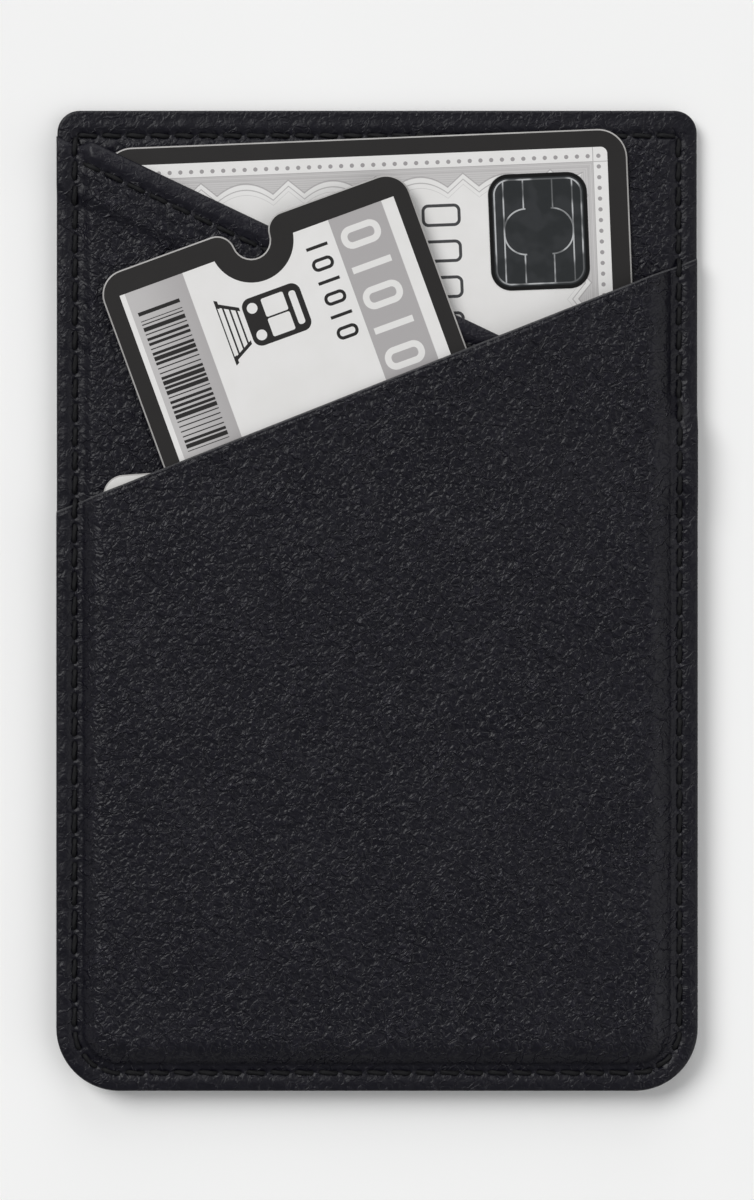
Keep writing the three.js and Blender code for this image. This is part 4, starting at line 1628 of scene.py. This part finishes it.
@dataclass
class Cards:
    """The bank card with its chip, the ticket and the paper slip."""

    plan: PocketPlan
    core: Material
    card_size: Pair = (54.0, 85.6)
    card_radius: float = 3.0
    card_lean: float = 3.44
    card_centre: Pair = (0.4, 4.8)
    chip_centre: Pair = (17.6, 32.5)
    chip_size: Pair = (10.2, 12.0)
    chip_radius: float = 2.1
    chip_height: float = 0.07
    chip_chamfer: float = 0.05
    ticket_size: Pair = (33.4, 50.0)
    ticket_radius: float = 2.6
    ticket_lean: float = 20.0
    ticket_corner: Pair = (4.1, 17.6)
    slip_size: Pair = (40.0, 38.0)
    slip_radius: float = 2.2
    slip_lean: float = 4.0
    slip_corner: Pair = (4.7, 37.8)
    slip: PaperFinish = PaperFinish("slip_paper", (0.74, 0.73, 0.71), (0.70, 0.69, 0.67))

    def placed(self, x: float, y: float, z: float, lean: float) -> Matrix:
        """Place of a card's own frame, in metres, for a lean in degrees."""
        turn = Matrix.Rotation(math.radians(lean), 4, "Z")
        return Matrix.Translation(Vector((x, y, z)) * MM) @ turn

    def corner(self, spot: Pair, z: float, lean: float) -> Matrix:
        """Place of a card that is given by its top left corner."""
        across, down = spot
        return self.placed(across - self.plan.half_width, self.plan.half_height - down, z, lean)

    def centred(self, size: Pair, radius: float) -> Field:
        """Outline of a rounded rectangle round 0."""
        width, height = size
        return rounded_outline(width, height, radius) + (-width / 2, height / 2)

    def build_bank_card(self) -> None:
        """Make the bank card and the chip on it."""
        width, height = self.card_size
        low, high = box_mm("bank_card")
        lean = math.degrees(math.atan(self.card_lean / height))
        thickness = high[2] - low[2]
        outline = self.centred(self.card_size, self.card_radius)
        face = BankPrint(width / 2, height / 2).build()
        card = Card("bank_card_board", outline, thickness, face, self.core)
        place = self.placed(*self.card_centre, low[2], lean)
        settle(card.build(place), "printed_card", "bank_card")
        across, along = self.chip_size
        foil = ChipFinish(across / 2, along / 2, self.chip_radius).build()
        outline = self.centred(self.chip_size, self.chip_radius)
        chip = Card("bank_card_chip", outline, self.chip_height, foil, foil, self.chip_chamfer)
        shift = Matrix.Translation(Vector((*self.chip_centre, thickness)) * MM)
        settle(chip.build(place @ shift), "printed_card")

    def build_ticket(self) -> None:
        """Make the travel ticket with its thumb notch."""
        width, height = self.ticket_size
        low, high = box_mm("travel_ticket")
        notch = Notch()
        corners = rounded_outline(width, height, self.ticket_radius)
        right, left = np.split(corners, [2 * CORNER_STEPS])
        outline = np.concatenate([right, notch.points(), left])
        face = TicketPrint(width, notch).build()
        card = Card("travel_ticket_board", outline, high[2] - low[2], face, self.core)
        settle(card.build(self.corner(self.ticket_corner, low[2], self.ticket_lean)),
               "printed_card", "travel_ticket")

    def build_slip(self) -> None:
        """Make the plain slip behind the ticket."""
        low, high = box_mm("paper_slip")
        outline = rounded_outline(*self.slip_size, self.slip_radius)
        card = Card("paper_slip_board", outline, high[2] - low[2], self.slip.build(), self.core)
        settle(card.build(self.corner(self.slip_corner, low[2], self.slip_lean)),
               "plain_card", "paper_slip")


@dataclass
class StickyBack:
    """The adhesive pad and its release liner under the pocket."""

    radius: float = 3.0
    chamfer: float = 0.03
    liner: PaperFinish = PaperFinish(
        "glazed_liner", (0.76, 0.73, 0.65), (0.70, 0.67, 0.58), 0.32, 0.002)
    foam: PaperFinish = PaperFinish(
        "acrylic_foam", (0.62, 0.62, 0.60), (0.50, 0.50, 0.48), 0.5, 0.02)

    def build(self) -> None:
        """Make both sheets."""
        for node, finish, slot in (("release_liner", self.liner, "liner_paper"),
                                   ("adhesive_pad", self.foam, "adhesive")):
            low, high = box_mm(node)
            width, height, thickness = high - low
            outline = rounded_outline(width, height, self.radius)
            material = finish.build()
            card = Card(node + "_sheet", outline, thickness, material, material, self.chamfer)
            place = Matrix.Translation(Vector((low[0], high[1], low[2])) * MM)
            settle(card.build(place), slot, node)


@dataclass
class Studio:
    """Pale floor, soft lamps and the camera above the pocket.

    A lamp has its name, its direction, the angle that it fills and its level.
    """

    margin: float = 1.17
    lens: float = 120.0
    sensor: float = 36.0
    image: tuple[int, int] = (754, 1200)
    floor_half: float = 3000.0
    world_colour: Colour = (0.97, 0.985, 1.0)
    world_level: float = 0.28
    lamps: Sequence[tuple[str, Triple, float, float]] = (
        ("key_light", (-0.45, 0.40, 0.62), 34.0, 0.46),
        ("fill_light", (0.60, -0.15, 0.50), 60.0, 0.17),
        ("rim_light", (0.10, 0.80, 0.35), 40.0, 0.10))

    def build(self, plan: PocketPlan) -> None:
        """Make the floor, the lamps and the camera.

        Args:
            plan: The pocket's outline, which the camera frames.
        """
        self.floor()
        self.world()
        for lamp in self.lamps:
            self.lamp(*lamp)
        self.camera(plan)

    def floor(self) -> None:
        """Make the floor."""
        half = self.floor_half
        points = [(-half, -half, 0), (half, -half, 0), (half, half, 0), (-half, half, 0)]
        made = make_object("pale_floor", points, [(0, 1, 2, 3)], [FloorFinish().build()])

    def world(self) -> None:
        """Make an even, dim surround."""
        world = bpy.data.worlds.new("studio")
        bpy.context.scene.world = world
        world.use_nodes = True
        shade = world.node_tree.nodes["Background"]
        shade.inputs["Color"].default_value = opaque(self.world_colour)
        shade.inputs["Strength"].default_value = self.world_level

    def lamp(self, name: str, at: Triple, spread: float, level: float) -> None:
        """Add one broad, distant lamp.

        Args:
            name: Its name.
            at: Direction that it stands in.
            spread: Angle in degrees that it fills, as seen from the pocket.
            level: Share of a plain light level that it gives a surface that lies flat.
        """
        light = bpy.data.lights.new(name, "SUN")
        light.angle = math.radians(spread)
        light.energy = level * math.pi / Vector(at).normalized().z
        made = bpy.data.objects.new(name, light)
        made.rotation_euler = (-Vector(at)).to_track_quat("-Z", "Y").to_euler()
        bpy.context.scene.collection.objects.link(made)

    def camera(self, plan: PocketPlan) -> None:
        """Add the camera, looking straight down with the open end at the top."""
        data = bpy.data.cameras.new("camera")
        data.lens = self.lens
        data.sensor_width = self.sensor
        wide, tall = self.image
        need = max(2 * plan.half_height, 2 * plan.half_width * tall / wide) * self.margin * MM
        made = bpy.data.objects.new("camera", data)
        made.location = (0.0, 0.0, need * self.lens / self.sensor + plan.front_top * MM)
        bpy.context.scene.collection.objects.link(made)
        bpy.context.scene.camera = made


def main() -> None:
    """Build every sub-assembly in order."""
    logging.basicConfig(level=logging.INFO, format="%(name)s %(message)s")
    plan = PocketPlan()
    leather = LeatherFinish().build(plan)
    # Copy of the leather for the rear ply: its hem band is pulled smooth and has a painted
    # highlight.
    hemmed = LeatherFinish("hemmed_highlit_black_leather", is_hemmed=True).build(plan)
    edge = CutEdgeFinish().build()
    body = LeatherBody(plan, Relief(plan), [leather, edge], [hemmed, edge])
    body.build_back()
    body.build_rear()
    body.build_front()
    stitching = Stitching(plan, body, ThreadFinish().build())
    stitching.build_seam()
    stitching.build_hem()
    cards = Cards(plan, CARD_CORE.build())
    cards.build_bank_card()
    cards.build_ticket()
    cards.build_slip()
    StickyBack().build()
    Studio().build(plan)
    bpy.context.scene.view_settings.view_transform = "Standard"


if __name__ == "__main__":
    main()
